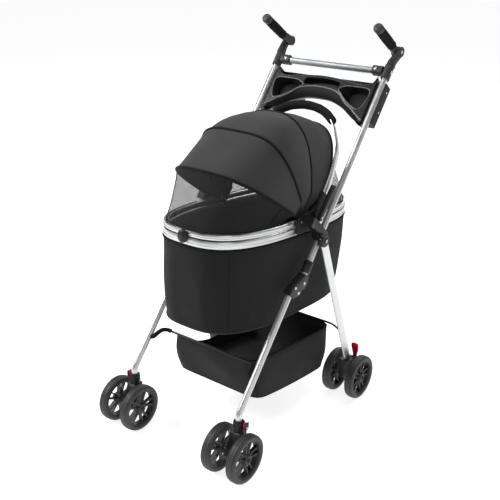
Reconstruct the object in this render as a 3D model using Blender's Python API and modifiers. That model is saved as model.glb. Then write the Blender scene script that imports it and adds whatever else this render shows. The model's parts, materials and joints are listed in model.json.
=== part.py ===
"""Pet stroller: a folding tube frame that carries a lift-off hooded cabin on four twin wheels.

Metres, +Z up, the front faces -Y, and _l and _r are the left and right as seen from the front.
Lengths along Y are measured from the front axle and moved by FRONT_AXLE_Y, which centres the object.
"""
import math

import bmesh
import bpy
from mathutils import Matrix, Vector

# Overall
FRONT_AXLE_Y = -0.34460
GAP = 0.0003
FABRIC = 0.0025

# Wheels and axles
WHEEL_R = 0.0640
WHEEL_HALF_W = 0.0140
AXLE_R = 0.0045
FRONT_TRACK = 0.1820
FRONT_TWIN = 0.0396
REAR_TRACK = 0.2143
REAR_TWIN = 0.0375
REAR_AXLE = (0.5000, 0.0640)
SWIVEL_Y = 0.0280

# Tubes, given as (y, z) in the side planes at TUBE_X
TUBE_X = 0.1810
TUBE_R = 0.0085
TUBE_BORE = 0.0071
SOCKET_R = TUBE_R + GAP
TUBE_TOP = (0.6760, 0.8920)
TUBE_ANGLE = math.radians(50.5)
FOLD_T = 0.6070
LEG_PATH = [(0.0262, 0.1340), (0.0290, 0.1600), (0.0970, 0.2409), (0.1500, 0.3041), (0.2440, 0.4160)]
LEG_HINGE = (0.3620, 0.5225)
LEG_FOOT = (0.5030, 0.0910)
CASTING = (0.1697, 0.1923)
ELBOW = (0.7390, 0.9545)

# Carrier ring, pitched down to the rear, and the hood's axis
RING_CENTRE = (0.3560, 0.5555)
RING_PITCH = math.radians(-5.3)
RING_A = 0.1450
RING_B = 0.3030
RING_POWER = 2.95
RAIL_HALF_W = 0.0070
CARRY_FOOT = (0.3850, 0.5800)
HOOD_PIVOT = (0.3600, 0.5550)
HOOD_HALF_W = 0.1500
BOW_R = 0.0026
BOW_TOPS = {1: (0.1110, 0.7345, 3.0), 2: (0.2520, 0.8030, 3.8), 3: (0.4110, 0.8230, 2.6), 4: (0.5830, 0.7640, 2.45)}

MATERIALS = {
    "alu": ((0.62, 0.63, 0.65, 1), 0.9, 0.35),
    "steel": ((0.75, 0.75, 0.77, 1), 1.0, 0.25),
    "black_plastic": ((0.03, 0.03, 0.03, 1), 0.0, 0.45),
    "gloss_black": ((0.02, 0.02, 0.02, 1), 0.0, 0.15),
    "black_wire": ((0.03, 0.03, 0.03, 1), 0.5, 0.35),
    "rubber": ((0.04, 0.04, 0.04, 1), 0.0, 0.8),
    "wheel": ((0.035, 0.035, 0.035, 1), 0.0, 0.6),
    "red_plastic": ((0.55, 0.02, 0.03, 1), 0.0, 0.4),
    "black_fabric": ((0.03, 0.03, 0.035, 1), 0.0, 0.9),
    "grey_fabric": ((0.10, 0.10, 0.11, 1), 0.0, 0.9),
    "mesh_fabric": ((0.02, 0.02, 0.02, 1), 0.0, 0.9),
    "pad": ((0.06, 0.06, 0.065, 1), 0.0, 0.95),
}
SIDES = (("l", -1), ("r", 1))

for old in list(bpy.data.objects):
    bpy.data.objects.remove(old, do_unlink=True)

PARTS = bpy.data.collections.new("pet_stroller")
CUTTERS = bpy.data.collections.new("cutters")
bpy.context.scene.collection.children.link(PARTS)
bpy.context.scene.collection.children.link(CUTTERS)


# ---------------------------------------------------------------- objects and materials

def material(slot):
    """One Principled material per slot."""
    found = bpy.data.materials.get(slot)
    if found:
        return found
    colour, metal, rough = MATERIALS[slot]
    mat = bpy.data.materials.new(slot)
    mat.use_nodes = True
    shader = mat.node_tree.nodes["Principled BSDF"]
    shader.inputs["Base Color"].default_value = colour
    shader.inputs["Metallic"].default_value = metal
    shader.inputs["Roughness"].default_value = rough
    return mat


def place(name, data, slot, matrix):
    """Link new data as a part, or as a cutter or operand when it has no slot."""
    obj = bpy.data.objects.new(name, data)
    obj.matrix_world = matrix
    if slot:
        PARTS.objects.link(obj)
        data.materials.append(material(slot))
    else:
        CUTTERS.objects.link(obj)
        obj.hide_render = True
        obj.display_type = "WIRE"
    return obj


def at(x=0.0, y=0.0, z=0.0):
    """Translation to a point whose y is measured from the front axle."""
    return Matrix.Translation((x, y + FRONT_AXLE_Y, z))


def point(p):
    return Vector((p[0], p[1] + FRONT_AXLE_Y, p[2]))


def boolean(obj, operation, operands):
    for operand in operands:
        mod = obj.modifiers.new(operation.lower(), "BOOLEAN")
        mod.operation = operation
        mod.solver = "EXACT"
        mod.object = operand
    return obj


def add(obj, *operands):
    return boolean(obj, "UNION", operands)


def cut(obj, *operands):
    return boolean(obj, "DIFFERENCE", operands)


def evaluated_mesh(obj, weld=0.00001):
    """The object's shape after its modifiers, with a curve's caps welded on."""
    bpy.context.view_layer.update()
    graph = bpy.context.evaluated_depsgraph_get()
    mesh = bpy.data.meshes.new_from_object(obj.evaluated_get(graph))
    bm = bmesh.new()
    bm.from_mesh(mesh)
    bmesh.ops.remove_doubles(bm, verts=bm.verts, dist=weld)
    bmesh.ops.recalc_face_normals(bm, faces=bm.faces)
    bm.to_mesh(mesh)
    bm.free()
    return mesh


def as_mesh(curve, slot=None):
    """Replace a curve object by a mesh object, so that it can be cut or joined."""
    mesh = evaluated_mesh(curve)
    name, matrix = curve.name, curve.matrix_world.copy()
    bpy.data.objects.remove(curve, do_unlink=True)
    mesh.materials.clear()
    return place(name, mesh, slot, matrix)


# ---------------------------------------------------------------- shapes

def curve_data(name, splines, dimensions, cyclic):
    data = bpy.data.curves.new(name, "CURVE")
    data.dimensions = dimensions
    for points in splines:
        spline = data.splines.new("POLY")
        spline.points.add(len(points) - 1)
        for node, p in zip(spline.points, points):
            node.co = (p[0], p[1], p[2] if len(p) > 2 else 0.0, 1.0)
        spline.use_cyclic_u = cyclic
    return data


def rod(name, points, radius, slot=None, fineness=2, matrix=None):
    """A round bar along points, which are world points measured from the front axle."""
    data = curve_data(name, [points], "3D", False)
    data.bevel_depth = radius
    data.bevel_resolution = fineness
    data.use_fill_caps = True
    return place(name, data, slot, matrix or at())


def plate(name, outline, x0, x1, slot=None):
    """An outline of (y, z) points, as thick as x0 to x1."""
    data = curve_data(name, [outline], "2D", True)
    data.fill_mode = "BOTH"
    data.extrude = abs(x1 - x0) / 2
    turn = Matrix(((0, 0, 1, 0), (1, 0, 0, 0), (0, 1, 0, 0), (0, 0, 0, 1)))
    return place(name, data, slot, at((x0 + x1) / 2) @ turn)


def bar(name, start, end, half, slot=None, sides=16, end_half=None):
    """A straight round or oval bar; half is its half size along X and across it."""
    start, end = point(start), point(end)
    half = half if isinstance(half, tuple) else (half, half)
    end_half = end_half or half[0]
    axis = (end - start).normalized()
    side = Vector((1, 0, 0)) if abs(axis.x) < 0.9 else Vector((0, 0, 1))
    side = (side - axis * side.dot(axis)).normalized()
    cross = axis.cross(side)
    bm = bmesh.new()
    bmesh.ops.create_cone(bm, cap_ends=True, segments=sides, radius1=half[0], radius2=end_half,
                          depth=(end - start).length)
    bmesh.ops.scale(bm, vec=(1.0, half[1] / half[0], 1.0), verts=bm.verts)
    mesh = bpy.data.meshes.new(name)
    bm.to_mesh(mesh)
    bm.free()
    matrix = Matrix((side, cross, axis)).transposed().to_4x4()
    matrix.translation = (start + end) / 2
    return place(name, mesh, slot, matrix)


def pin(name, x0, x1, y, z, radius, slot=None, sides=16):
    """A round bar along X."""
    return bar(name, (x0, y, z), (x1, y, z), radius, slot, sides)


def loop_bar(name, points, profile, slot, matrix, cyclic):
    """A bar of any section along a flat path drawn in its own XY plane."""
    section = place(name + "_section", curve_data(name + "_section", [profile], "2D", True), None, Matrix())
    data = curve_data(name, [points], "2D", cyclic)
    data.bevel_mode = "OBJECT"
    data.bevel_object = section
    data.use_fill_caps = not cyclic
    return place(name, data, slot, matrix)


def oval(half_x, half_y, count, power=2.0):
    """Points round an oval; a power over 2 squares it."""
    out = []
    for k in range(count):
        th = 2 * math.pi * (k + 0.5) / count
        c, s = math.cos(th), math.sin(th)
        out.append((half_x * math.copysign(abs(c) ** (2 / power), c),
                    half_y * math.copysign(abs(s) ** (2 / power), s)))
    return out


def arc(y, z, radius, start, end, steps):
    """Points of an arc in (y, z), angles in degrees from +Y towards +Z."""
    turns = [math.radians(start + (end - start) * k / steps) for k in range(steps + 1)]
    return [(y + radius * math.cos(a), z + radius * math.sin(a)) for a in turns]


def rounded(points, radius, steps=3):
    """A polyline with its inner corners rounded."""
    pts = [Vector(p) for p in points]
    out = [pts[0]]
    for before, here, after in zip(pts, pts[1:], pts[2:]):
        r = min(radius, (here - before).length * 0.45, (after - here).length * 0.45)
        start = here + (before - here).normalized() * r
        end = here + (after - here).normalized() * r
        for k in range(steps + 1):
            f = k / steps
            out.append(start * (1 - f) ** 2 + here * 2 * f * (1 - f) + end * f ** 2)
    out.append(pts[-1])
    return out


def skin(name, rows, thick, slot, closed, capped=False):
    """A fabric sheet over rows of points; Solidify thickens it away from the outer face."""
    bm = bmesh.new()
    grid = [[bm.verts.new(point(p)) for p in row] for row in rows]
    cols = len(rows[0])
    for lower, upper in zip(grid, grid[1:]):
        for j in range(cols if closed else cols - 1):
            k = (j + 1) % cols
            bm.faces.new((lower[j], lower[k], upper[k], upper[j]))
    if capped:
        bm.faces.new(list(reversed(grid[0])))
    mesh = bpy.data.meshes.new(name)
    bm.to_mesh(mesh)
    bm.free()
    obj = place(name, mesh, slot, Matrix())
    if thick:
        mod = obj.modifiers.new("thickness", "SOLIDIFY")
        mod.thickness = abs(thick)
        mod.offset = -1.0 if thick > 0 else 1.0
        mod.use_even_offset = True
    return obj


# ---------------------------------------------------------------- frames of reference

def on_tube(t, q=0.0):
    """(y, z) at distance t down the handle tube from its nominal top, and q in front of its axis."""
    c, s = math.cos(TUBE_ANGLE), math.sin(TUBE_ANGLE)
    return (TUBE_TOP[0] - c * t - s * q, TUBE_TOP[1] - s * t + c * q)


def tube_point(x, t, q=0.0):
    return (x, *on_tube(t, q))


def from_fold(s, q):
    """(y, z) from the fold hinge: s up the handle tube, q in front of it."""
    return on_tube(FOLD_T - s, q)


def ring_point(x, v, w):
    """A point in the carrier's pitched frame: v to the rear, w up."""
    c, s = math.cos(RING_PITCH), math.sin(RING_PITCH)
    return (x, RING_CENTRE[0] + v * c - w * s, RING_CENTRE[1] + v * s + w * c)


def ring_matrix(w):
    return at(*ring_point(0.0, 0.0, w)) @ Matrix.Rotation(RING_PITCH, 4, "X")


def super_ring(a, b, w, count):
    """A closed superellipse in the carrier's frame."""
    return [ring_point(x, v, w) for x, v in oval(a, b, count, RING_POWER)]


# ---------------------------------------------------------------- handle frame

def handle_side(tag, sign):
    """Tube, head, hub, grip arm and grip of one side."""
    x = sign * TUBE_X
    tube = bar("handle_tube_" + tag, tube_point(x, FOLD_T + 0.0125), tube_point(x, -0.0200), TUBE_R, "alu")
    cut(tube, bar("tube_bore_" + tag, tube_point(x, FOLD_T + 0.02), tube_point(x, -0.03), TUBE_BORE),
        pin("fold_hole_" + tag, x - 0.02, x + 0.02, *on_tube(FOLD_T), 0.0034, None, 12))

    head = bar("tube_head_" + tag, tube_point(x, 0.0040), tube_point(x, -0.0370), (0.0126, 0.0142),
               "black_plastic")
    cut(head, bar("head_bore_" + tag, tube_point(x, 0.0300), tube_point(x, -0.0204), SOCKET_R))

    lug = [(0.4900, -0.0140), (0.4550, -0.0140), (0.4550, 0.0130), (0.4520, 0.0300), (0.4520, 0.0620),
           (0.4740, 0.0620), (0.4760, 0.0300), (0.4900, 0.0130)]
    hub = plate("hub_" + tag, [on_tube(*p) for p in lug], sign * CASTING[0], sign * CASTING[1])
    hub = as_mesh(hub, "black_plastic")
    cut(hub, bar("hub_bore_" + tag, tube_point(x, 0.5000), tube_point(x, 0.4400), SOCKET_R))
    add(hub, pin("hub_pin_" + tag, sign * 0.1910, sign * 0.2080, *LEG_HINGE, 0.0040),
        pin("hub_pin_head_" + tag, sign * 0.2076, sign * 0.2102, *LEG_HINGE, 0.0075))

    lower = tube_point(sign * 0.1830, -0.0374)
    neck = tube_point(sign * 0.1830, -0.0560)
    arm = bar("grip_arm_" + tag, lower, neck, (0.0088, 0.0134), "black_plastic", 12, 0.0070)
    add(arm, bar("arm_bend_" + tag, tube_point(sign * 0.1853, -0.0530), (sign * 0.1884, 0.7330, 0.9495),
                 (0.0065, 0.0132), None, 12),
        pin("arm_knuckle_" + tag, sign * 0.1815, sign * 0.1950, *ELBOW, 0.0142))


def hand_grip(tag, sign):
    grip = bar("hand_grip_" + tag, (sign * 0.1800, 0.7130, 0.9690), (sign * 0.1800, 0.6180, 1.0320), 0.0130,
               "rubber")
    add(grip, bar("grip_neck_" + tag, (sign * 0.1744, 0.7340, 0.9575), (sign * 0.1770, 0.7090, 0.9720),
                  (0.0060, 0.0110), None, 12),
        pin("grip_knuckle_" + tag, sign * 0.1680, sign * 0.1811, *ELBOW, 0.0138))


def fold_sleeve(tag, sign):
    """Sliding lock on the handle tube, just above the fold bracket."""
    x = sign * TUBE_X
    sleeve = bar("fold_sleeve_" + tag, tube_point(x, 0.5800), tube_point(x, 0.5470), (0.0112, 0.0140),
                 "black_plastic")
    cut(sleeve, bar("sleeve_bore_" + tag, tube_point(x, 0.6000), tube_point(x, 0.5300), SOCKET_R))


def carrier_release(tag, sign):
    outline = [(0.4440, 0.0300), (0.4440, 0.0420), (0.4100, 0.0420), (0.3500, 0.0390), (0.3410, 0.0360),
               (0.3410, 0.0280), (0.3500, 0.0255), (0.4100, 0.0275)]
    plate("carrier_release_" + tag, [on_tube(*p) for p in outline], sign * 0.1745, sign * 0.1875,
          "black_plastic")


def crossbar():
    bar("crossbar", tube_point(-0.1680, -0.019), tube_point(0.1680, -0.019), (0.0105, 0.0095), "alu", 16)


# ---------------------------------------------------------------- tray

TRAY_HALF = [(0.0, 0.0220), (0.0500, 0.0260), (0.0850, 0.0330), (0.1200, 0.0390), (0.1450, 0.0350),
             (0.1580, 0.0230), (0.1660, 0.0120), (0.1660, 0.1400), (0.1300, 0.1390), (0.1070, 0.1300),
             (0.0810, 0.1080), (0.0370, 0.0900), (0.0, 0.0880)]
COMPARTMENT_HALF = [(0.0, 0.0270), (0.0500, 0.0310), (0.0590, 0.0400), (0.0565, 0.0540), (0.0300, 0.0525),
                    (0.0, 0.0515)]
CUP_MOUTH = [(0.0660, 0.0560), (0.0820, 0.0450), (0.1180, 0.0435), (0.1500, 0.0470), (0.1580, 0.0580),
             (0.1520, 0.0850), (0.1380, 0.1020), (0.1190, 0.1030), (0.0930, 0.0850), (0.0740, 0.0680)]
CUP = (0.1130, 0.0730)


def both_halves(half):
    """A closed outline from a half that starts and ends on the middle line."""
    return half + [(-x, t) for x, t in reversed(half[1:-1])]


def tray_plate(name, outline, q0, q1, slot=None):
    """An outline of (x, t) points parallel to the handle tubes, from q0 to q1 in front of them."""
    data = curve_data(name, [[(x, -t) for x, t in outline]], "2D", True)
    data.fill_mode = "BOTH"
    data.extrude = abs(q1 - q0) / 2
    place_at = at(*tube_point(0.0, 0.0, (q0 + q1) / 2)) @ Matrix.Rotation(TUBE_ANGLE, 4, "X")
    return as_mesh(place(name, data, None, place_at), slot)


def cup_shape(name, sign, q0, r0, q1, r1):
    x, t = sign * CUP[0], CUP[1]
    return bar(name, tube_point(x, t, q0), tube_point(x, t, q1), (r0, r0 * 0.92), None, 20, r1)


def parent_tray():
    tray = tray_plate("parent_tray", both_halves(TRAY_HALF), -0.022, 0.008, "gloss_black")
    clamp = [(0.1640, 0.0160), (0.1935, 0.0160), (0.1935, 0.1370), (0.1640, 0.1370)]
    for tag, sign in SIDES:
        add(tray, cup_shape("cup_body_" + tag, sign, -0.0750, 0.0295, -0.0200, 0.0335),
            tray_plate("tray_clamp_" + tag, [(sign * x, t) for x, t in clamp], -0.0340, 0.0015))
    for tag, sign in SIDES:
        x = sign * TUBE_X
        mouth = tray_plate("cup_mouth_" + tag, [(sign * cx, ct) for cx, ct in CUP_MOUTH], -0.0190, 0.0300)
        cut(tray, mouth, cup_shape("cup_hollow_" + tag, sign, -0.0725, 0.0270, -0.0170, 0.0310),
            bar("clamp_bore_" + tag, tube_point(x, 0.2000), tube_point(x, -0.0200), SOCKET_R))
    cut(tray, tray_plate("compartment", both_halves(COMPARTMENT_HALF), -0.0190, 0.0300))


# ---------------------------------------------------------------- front legs and casters

BRACKET = [(0.0220, -0.0100), (0.0220, 0.0120), (0.0120, 0.0160), (-0.0100, 0.0290), (-0.0280, 0.0405),
           (-0.0480, 0.0440), (-0.0500, 0.0220), (-0.0410, 0.0100), (-0.0330, 0.0010), (-0.0178, -0.0016),
           (-0.0110, -0.0105), (0.0, -0.0125), (0.0120, -0.0115)]
SWING_R = 0.0165
LOCK_PIVOT = (0.0300, 0.1285)


def front_leg(tag, sign):
    """Bent tube with its fold bracket above and its caster socket below."""
    x = sign * TUBE_X
    path = [Vector((x, *p)) for p in LEG_PATH]
    foot, knee, bend, tip = path[0], path[1], path[3], path[4]
    leg = as_mesh(rod("front_leg_" + tag, rounded(path, 0.030, 2), TUBE_R), "alu")
    longer = [foot - (knee - foot).normalized() * 0.01] + path[1:4] + [tip + (tip - bend).normalized() * 0.01]
    cut(leg, as_mesh(rod("leg_tube_bore_" + tag, rounded(longer, 0.030, 2), TUBE_BORE)))

    bracket = plate("fold_bracket_" + tag, [from_fold(*p) for p in BRACKET], sign * CASTING[0], sign * CASTING[1])
    bracket = as_mesh(bracket, "black_plastic")
    room = [(0.0180, 0.0090), (0.0900, 0.0090), (0.0900, -0.0500), (-SWING_R, -0.0500)]
    room += [(SWING_R * math.cos(math.radians(a)), SWING_R * math.sin(math.radians(a))) for a in (180, 150, 120, 90, 60)]
    room += [(0.0143, 0.0092)]
    cut(bracket, as_mesh(plate("swing_room_" + tag, [from_fold(*p) for p in room], sign * 0.17195, sign * 0.19005)))
    down = (bend - tip).normalized()
    cut(bracket, bar("leg_socket_" + tag, tip - down * 0.0004, tip + down * 0.0600, SOCKET_R))
    add(bracket, pin("fold_pin_" + tag, sign * 0.1705, sign * 0.1915, *on_tube(FOLD_T), 0.0030, None, 12))

    cx = sign * FRONT_TRACK
    rise = (knee - foot).normalized()
    ear = [(0.0260, 0.1235), (0.0340, 0.1235), (0.0370, 0.1280), (0.0375, 0.1435), (0.0225, 0.1435), (0.0230, 0.1280)]
    socket = bar("caster_socket_" + tag, (cx, SWIVEL_Y, 0.1175), (cx, SWIVEL_Y, 0.1410), 0.0150, "black_plastic")
    add(socket, bar("socket_collar_" + tag, foot - rise * 0.0020, foot + rise * 0.0110, 0.0118),
        pin("lock_pin_" + tag, cx + sign * 0.0130, cx + sign * 0.0215, *LOCK_PIVOT, 0.0025, None, 12),
        as_mesh(plate("lock_ear_" + tag, ear, cx + sign * 0.0206, cx + sign * 0.0240)))
    cut(socket, bar("collar_bore_" + tag, foot - rise * 0.0005, foot + rise * 0.0500, SOCKET_R),
        bar("swivel_bore_" + tag, (cx, SWIVEL_Y, 0.1050), (cx, SWIVEL_Y, 0.1295), 0.0066))


def caster(tag, sign):
    """Fork with its axle and swivel pin, and the lock tab that hangs beside its socket."""
    cx = sign * FRONT_TRACK
    reach = FRONT_TWIN + 0.0085
    outline = arc(0.0, WHEEL_R, 0.0140, 150, 290, 5)
    outline += [(0.0300, 0.0700), (0.0430, 0.0950), (0.0430, 0.1140), (0.0410, 0.1160), (0.0150, 0.1160), (0.0100, 0.1120)]
    fork = as_mesh(plate("caster_fork_" + tag, outline, cx - 0.0125, cx + 0.0125), "black_plastic")
    add(fork, pin("caster_axle_" + tag, cx - reach, cx + reach, 0.0, WHEEL_R, AXLE_R, None, 12),
        pin("axle_boss_" + tag, cx - 0.0230, cx + 0.0230, 0.0, WHEEL_R, 0.0100),
        bar("fork_crown_" + tag, (cx, SWIVEL_Y, 0.1060), (cx, SWIVEL_Y, 0.1168), 0.0148),
        bar("swivel_pin_" + tag, (cx, SWIVEL_Y, 0.1120), (cx, SWIVEL_Y, 0.1288), 0.0060))
    tab = [(0.0260, 0.1238), (0.0340, 0.1238), (0.0365, 0.1290), (0.0360, 0.1400), (0.0335, 0.1430),
           (0.0265, 0.1430), (0.0240, 0.1400), (0.0235, 0.1290)]
    lock = as_mesh(plate("swivel_lock_" + tag, tab, cx + sign * 0.0163, cx + sign * 0.0203), "red_plastic")
    cut(lock, pin("lock_hole_" + tag, cx + sign * 0.0120, cx + sign * 0.0250, *LOCK_PIVOT, 0.0028, None, 12))


# ---------------------------------------------------------------- rear legs and brakes

def rear_leg(tag, sign):
    """Oval tube, wheel housing and brake pedal of one side."""
    run = Vector((0.0, LEG_FOOT[0] - LEG_HINGE[0], LEG_FOOT[1] - LEG_HINGE[1])).normalized()
    top = Vector((sign * 0.2000, *LEG_HINGE)) - run * 0.0130
    foot = Vector((sign * REAR_TRACK, *LEG_FOOT))
    slant = (foot - top).normalized()
    leg = bar("rear_leg_" + tag, top, foot, (0.0068, 0.0132), "alu", 20)
    cut(leg, bar("rear_leg_bore_" + tag, top - slant * 0.01, foot + slant * 0.01, (0.0056, 0.0120), None, 20),
        pin("leg_pin_hole_" + tag, sign * 0.1850, sign * 0.2150, *LEG_HINGE, 0.0043))

    reach = REAR_TWIN + 0.0085
    outline = arc(*REAR_AXLE, 0.0180, 190, 350, 6)
    outline += [(0.5240, 0.0880), (0.5180, 0.1150), (0.4760, 0.1150), (0.4760, 0.0800)]
    housing = as_mesh(plate("wheel_housing_" + tag, outline, sign * (REAR_TRACK - 0.0205),
                            sign * (REAR_TRACK + 0.0205)), "black_plastic")
    add(housing, pin("rear_axle_" + tag, sign * REAR_TRACK - reach, sign * REAR_TRACK + reach, *REAR_AXLE,
                     AXLE_R, None, 12))
    cut(housing, bar("housing_socket_" + tag, foot + slant * 0.0004, foot - slant * 0.0600, (0.0072, 0.0136), None, 20))

    pedal = [(0.5255, 0.0900), (0.5340, 0.0860), (0.5480, 0.1020), (0.5440, 0.1380), (0.5360, 0.1480),
             (0.5290, 0.1440), (0.5350, 0.1200), (0.5340, 0.1050), (0.5260, 0.0990)]
    plate("brake_lever_" + tag, pedal, sign * (REAR_TRACK - 0.0110), sign * (REAR_TRACK + 0.0110), "red_plastic")


def basket_wires():
    """Bent wires fixed to the legs, which carry the under-basket's rims."""
    front = [(0.0, 0.1365, 0.2400), (0.1410, 0.1365, 0.2400), (0.1580, 0.1230, 0.2460), (0.1630, 0.0900, 0.2330),
             (0.1716, 0.0900, 0.2330)]
    rear = [(0.0, 0.5045, 0.2030), (0.1540, 0.5045, 0.2030), (0.1880, 0.4800, 0.2080), (0.2005, 0.4690, 0.2110)]
    for name, half in (("front_wire", front), ("rear_wire", rear)):
        path = [(-x, y, z) for x, y, z in reversed(half[1:])] + half[1:]
        rod(name, rounded(path, 0.016, 3), 0.0030, "black_wire", 1)


# ---------------------------------------------------------------- wheels

def wheel_mesh():
    """A turned wheel on local Z with six openings; its blind axle bore opens downwards."""
    half, bore, depth = WHEEL_HALF_W, 0.0048, 0.0090
    web, side = 0.0080, [(0.0140, half), (0.0180, 0.0080), (0.0430, 0.0080), (0.0475, 0.0120), (0.0600, 0.0130),
                         (WHEEL_R, 0.0095)]
    profile = [(0.0, half)] + side + [(r, -z) for r, z in reversed(side)] + [(bore, -half), (bore, depth), (0.0, depth)]
    bm = bmesh.new()
    verts = [bm.verts.new((r, 0.0, z)) for r, z in profile]
    for a, b in zip(verts, verts[1:]):
        bm.edges.new((a, b))
    mesh = bpy.data.meshes.new("wheel_profile")
    bm.to_mesh(mesh)
    bm.free()
    turned = place("turned_wheel", mesh, None, Matrix())
    screw = turned.modifiers.new("turn", "SCREW")
    screw.steps = screw.render_steps = 24
    screw.use_merge_vertices = True
    screw.merge_threshold = 0.00001
    openings = []
    for k in range(6):
        middle = 60 * k
        openings.append(arc(0.0, 0.0, 0.0420, middle - 22.5, middle + 22.5, 3)
                        + arc(0.0, 0.0, 0.0200, middle + 22.5, middle - 22.5, 3))
    data = curve_data("wheel_openings", openings, "2D", True)
    data.fill_mode = "BOTH"
    data.extrude = web * 2
    cut(turned, as_mesh(place("wheel_openings", data, None, Matrix())))
    return evaluated_mesh(turned)


def wheels():
    shape = wheel_mesh()
    for tag, sign in SIDES:
        for where, side in (("inner", -1), ("outer", 1)):
            turn = Matrix.Rotation(math.radians(90 * sign * side), 4, "Y")
            front = at(sign * (FRONT_TRACK + side * FRONT_TWIN), 0.0, WHEEL_R) @ turn
            rear = at(sign * (REAR_TRACK + side * REAR_TWIN), *REAR_AXLE) @ turn
            place("front_wheel_" + tag + "_" + where, shape.copy(), "wheel", front)
            place("rear_wheel_" + tag + "_" + where, shape.copy(), "wheel", rear)


# ---------------------------------------------------------------- under-basket

LEFT_SAG = 0.0850


def under_basket():
    """Open fabric bin between the wires; its rim hangs lower on the left than on the right."""
    base = [(0.1420, 0.1580, 0.1200), (0.1480, 0.3200, 0.0960), (0.1520, 0.4750, 0.0820)]
    rim = [(0.1380, 0.1400, 0.2370), (0.1470, 0.3200, 0.2180), (0.1500, 0.5010, 0.1990)]
    rings = []
    for right, sag in ((base, 0.0), (rim, LEFT_SAG)):
        (front_x, *front), (x, y, z), (rear_x, *rear) = right
        rings.append(right + [(-rear_x, *rear), (-x, y, z - sag), (-front_x, *front)])
    skin("under_basket", rings, FABRIC, "black_fabric", True, True)


# ---------------------------------------------------------------- carrier

def rails():
    """Two oval rails, one on the other; the bag hangs from the lower and the hood sits on the upper."""
    path = oval(RING_A, RING_B, 36, RING_POWER)
    for name, w, half in (("lower_rail", -0.0085, 0.0109), ("upper_rail", 0.0113, 0.0079)):
        loop_bar(name, path, list(reversed(oval(RAIL_HALF_W, half, 8))), "alu", ring_matrix(w), True)


def bag():
    """Fabric tub below the rails, with a stiff padded floor inside."""
    levels = [(0.1400, 0.2780, -0.2495), (0.1480, 0.2900, -0.2400), (0.1500, 0.2980, -0.1900),
              (0.1510, 0.3050, -0.1000), (0.1500, 0.3080, -0.0200)]
    skin("bag", [super_ring(*level, 28) for level in levels], FABRIC, "black_fabric", True, True)
    pad = [super_ring(a, b, w, 28) for a, b, w in
           ((0.1240, 0.2560, -0.2460), (0.1300, 0.2620, -0.2380), (0.1280, 0.2600, -0.2340))]
    floor = skin("floor_pad", pad, 0.0, "pad", True, True)
    close_top(floor)


def close_top(obj):
    """Fill the open upper ring of a sheet, so that it becomes a solid."""
    bm = bmesh.new()
    bm.from_mesh(obj.data)
    bmesh.ops.holes_fill(bm, edges=bm.edges)
    bmesh.ops.recalc_face_normals(bm, faces=bm.faces)
    bm.to_mesh(obj.data)
    bm.free()


def side_bracket(tag, sign):
    """Plate outside the rails with the seat that rests on the frame's hub."""
    outline = [(0.3020, 0.5480), (0.3020, 0.5880), (0.3500, 0.5960), (0.4050, 0.5860), (0.4050, 0.5440),
               (0.3700, 0.5400)]
    side = as_mesh(plate("side_bracket_" + tag, outline, sign * 0.1533, sign * 0.1598), "black_plastic")
    seat = [on_tube(*p) for p in ((0.4500, 0.0624), (0.4500, 0.0760), (0.4760, 0.0760), (0.4760, 0.0624))]
    add(side, as_mesh(plate("seat_" + tag, seat, sign * 0.1570, sign * CASTING[1])))


def carry_handle():
    """Flat steel bar in an arch, with a foam sleeve and a screwed boss at each foot."""
    half = [(0.0, 0.3000), (0.0550, 0.2900), (0.1000, 0.2620), (0.1480, 0.1850), (0.1590, 0.1100), (0.1618, 0.0)]
    path = [(-x, r) for x, r in reversed(half[1:])] + half
    matrix = at(0.0, *CARRY_FOOT) @ Matrix.Rotation(TUBE_ANGLE, 4, "X")
    flat = [(p.x, p.y) for p in rounded([(x, r, 0.0) for x, r in path], 0.030, 2)]
    strap = loop_bar("carry_handle", flat, oval(0.0015, 0.0125, 8, 6.0), None, matrix, False)
    strap = as_mesh(strap, "steel")
    grip = [matrix @ Vector((x, r, 0.0)) for x, r in path[3:8]]
    add(strap, as_mesh(rod("carry_foam", rounded(grip, 0.020, 2), 0.0130, None, 2, Matrix())))
    for tag, sign in SIDES:
        add(strap, pin("carry_boss_" + tag, sign * 0.1602, sign * 0.1690, *CARRY_FOOT, 0.0150))


def front_latch():
    """Turn-button over the joint between the two rails."""
    knob = bar("front_latch", ring_point(0.0, -0.3103, 0.0030), ring_point(0.0, -0.3215, 0.0030), (0.0130, 0.0080),
               "black_plastic")
    return knob


# ---------------------------------------------------------------- hood

def bow_shape(i):
    """Angle, reach and squareness of a bow."""
    y, z, power = BOW_TOPS[i]
    dy, dz = y - HOOD_PIVOT[0], z - HOOD_PIVOT[1]
    return math.atan2(dz, dy), math.hypot(dy, dz), power


def bow_inset(i):
    """Each bow's feet sit one step further in than the next, so that they fold past each other."""
    return 0.0158 + 0.0056 * (4 - i)


def bow_point(phi, reach, power, inset, s):
    """Point on a bow: s runs 0 to 1 from one pivot over the top to the other."""
    c, sn = math.cos(math.pi * s), max(math.sin(math.pi * s), 0.0)
    rho = reach * sn ** (2 / power)
    x = math.copysign(HOOD_HALF_W * abs(c) ** (2 / power), c)
    foot = min(1.0, max(0.0, (0.078 - rho) / 0.030))
    x -= math.copysign(inset * foot, x)
    return (x, HOOD_PIVOT[0] + rho * math.cos(phi), HOOD_PIVOT[1] + rho * math.sin(phi))


def spaced(count):
    """Values from 0 to 1, closer at the ends, where a bow turns."""
    return [0.5 - 0.5 * math.cos(math.pi * k / (count - 1)) for k in range(count)]


def bow(i):
    phi, reach, power = bow_shape(i)
    path = [bow_point(phi, reach, power, bow_inset(i), 0.0008 + s * 0.9984) for s in spaced(21)]
    rod("bow_" + str(i), path, BOW_R, "black_wire", 1)


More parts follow.
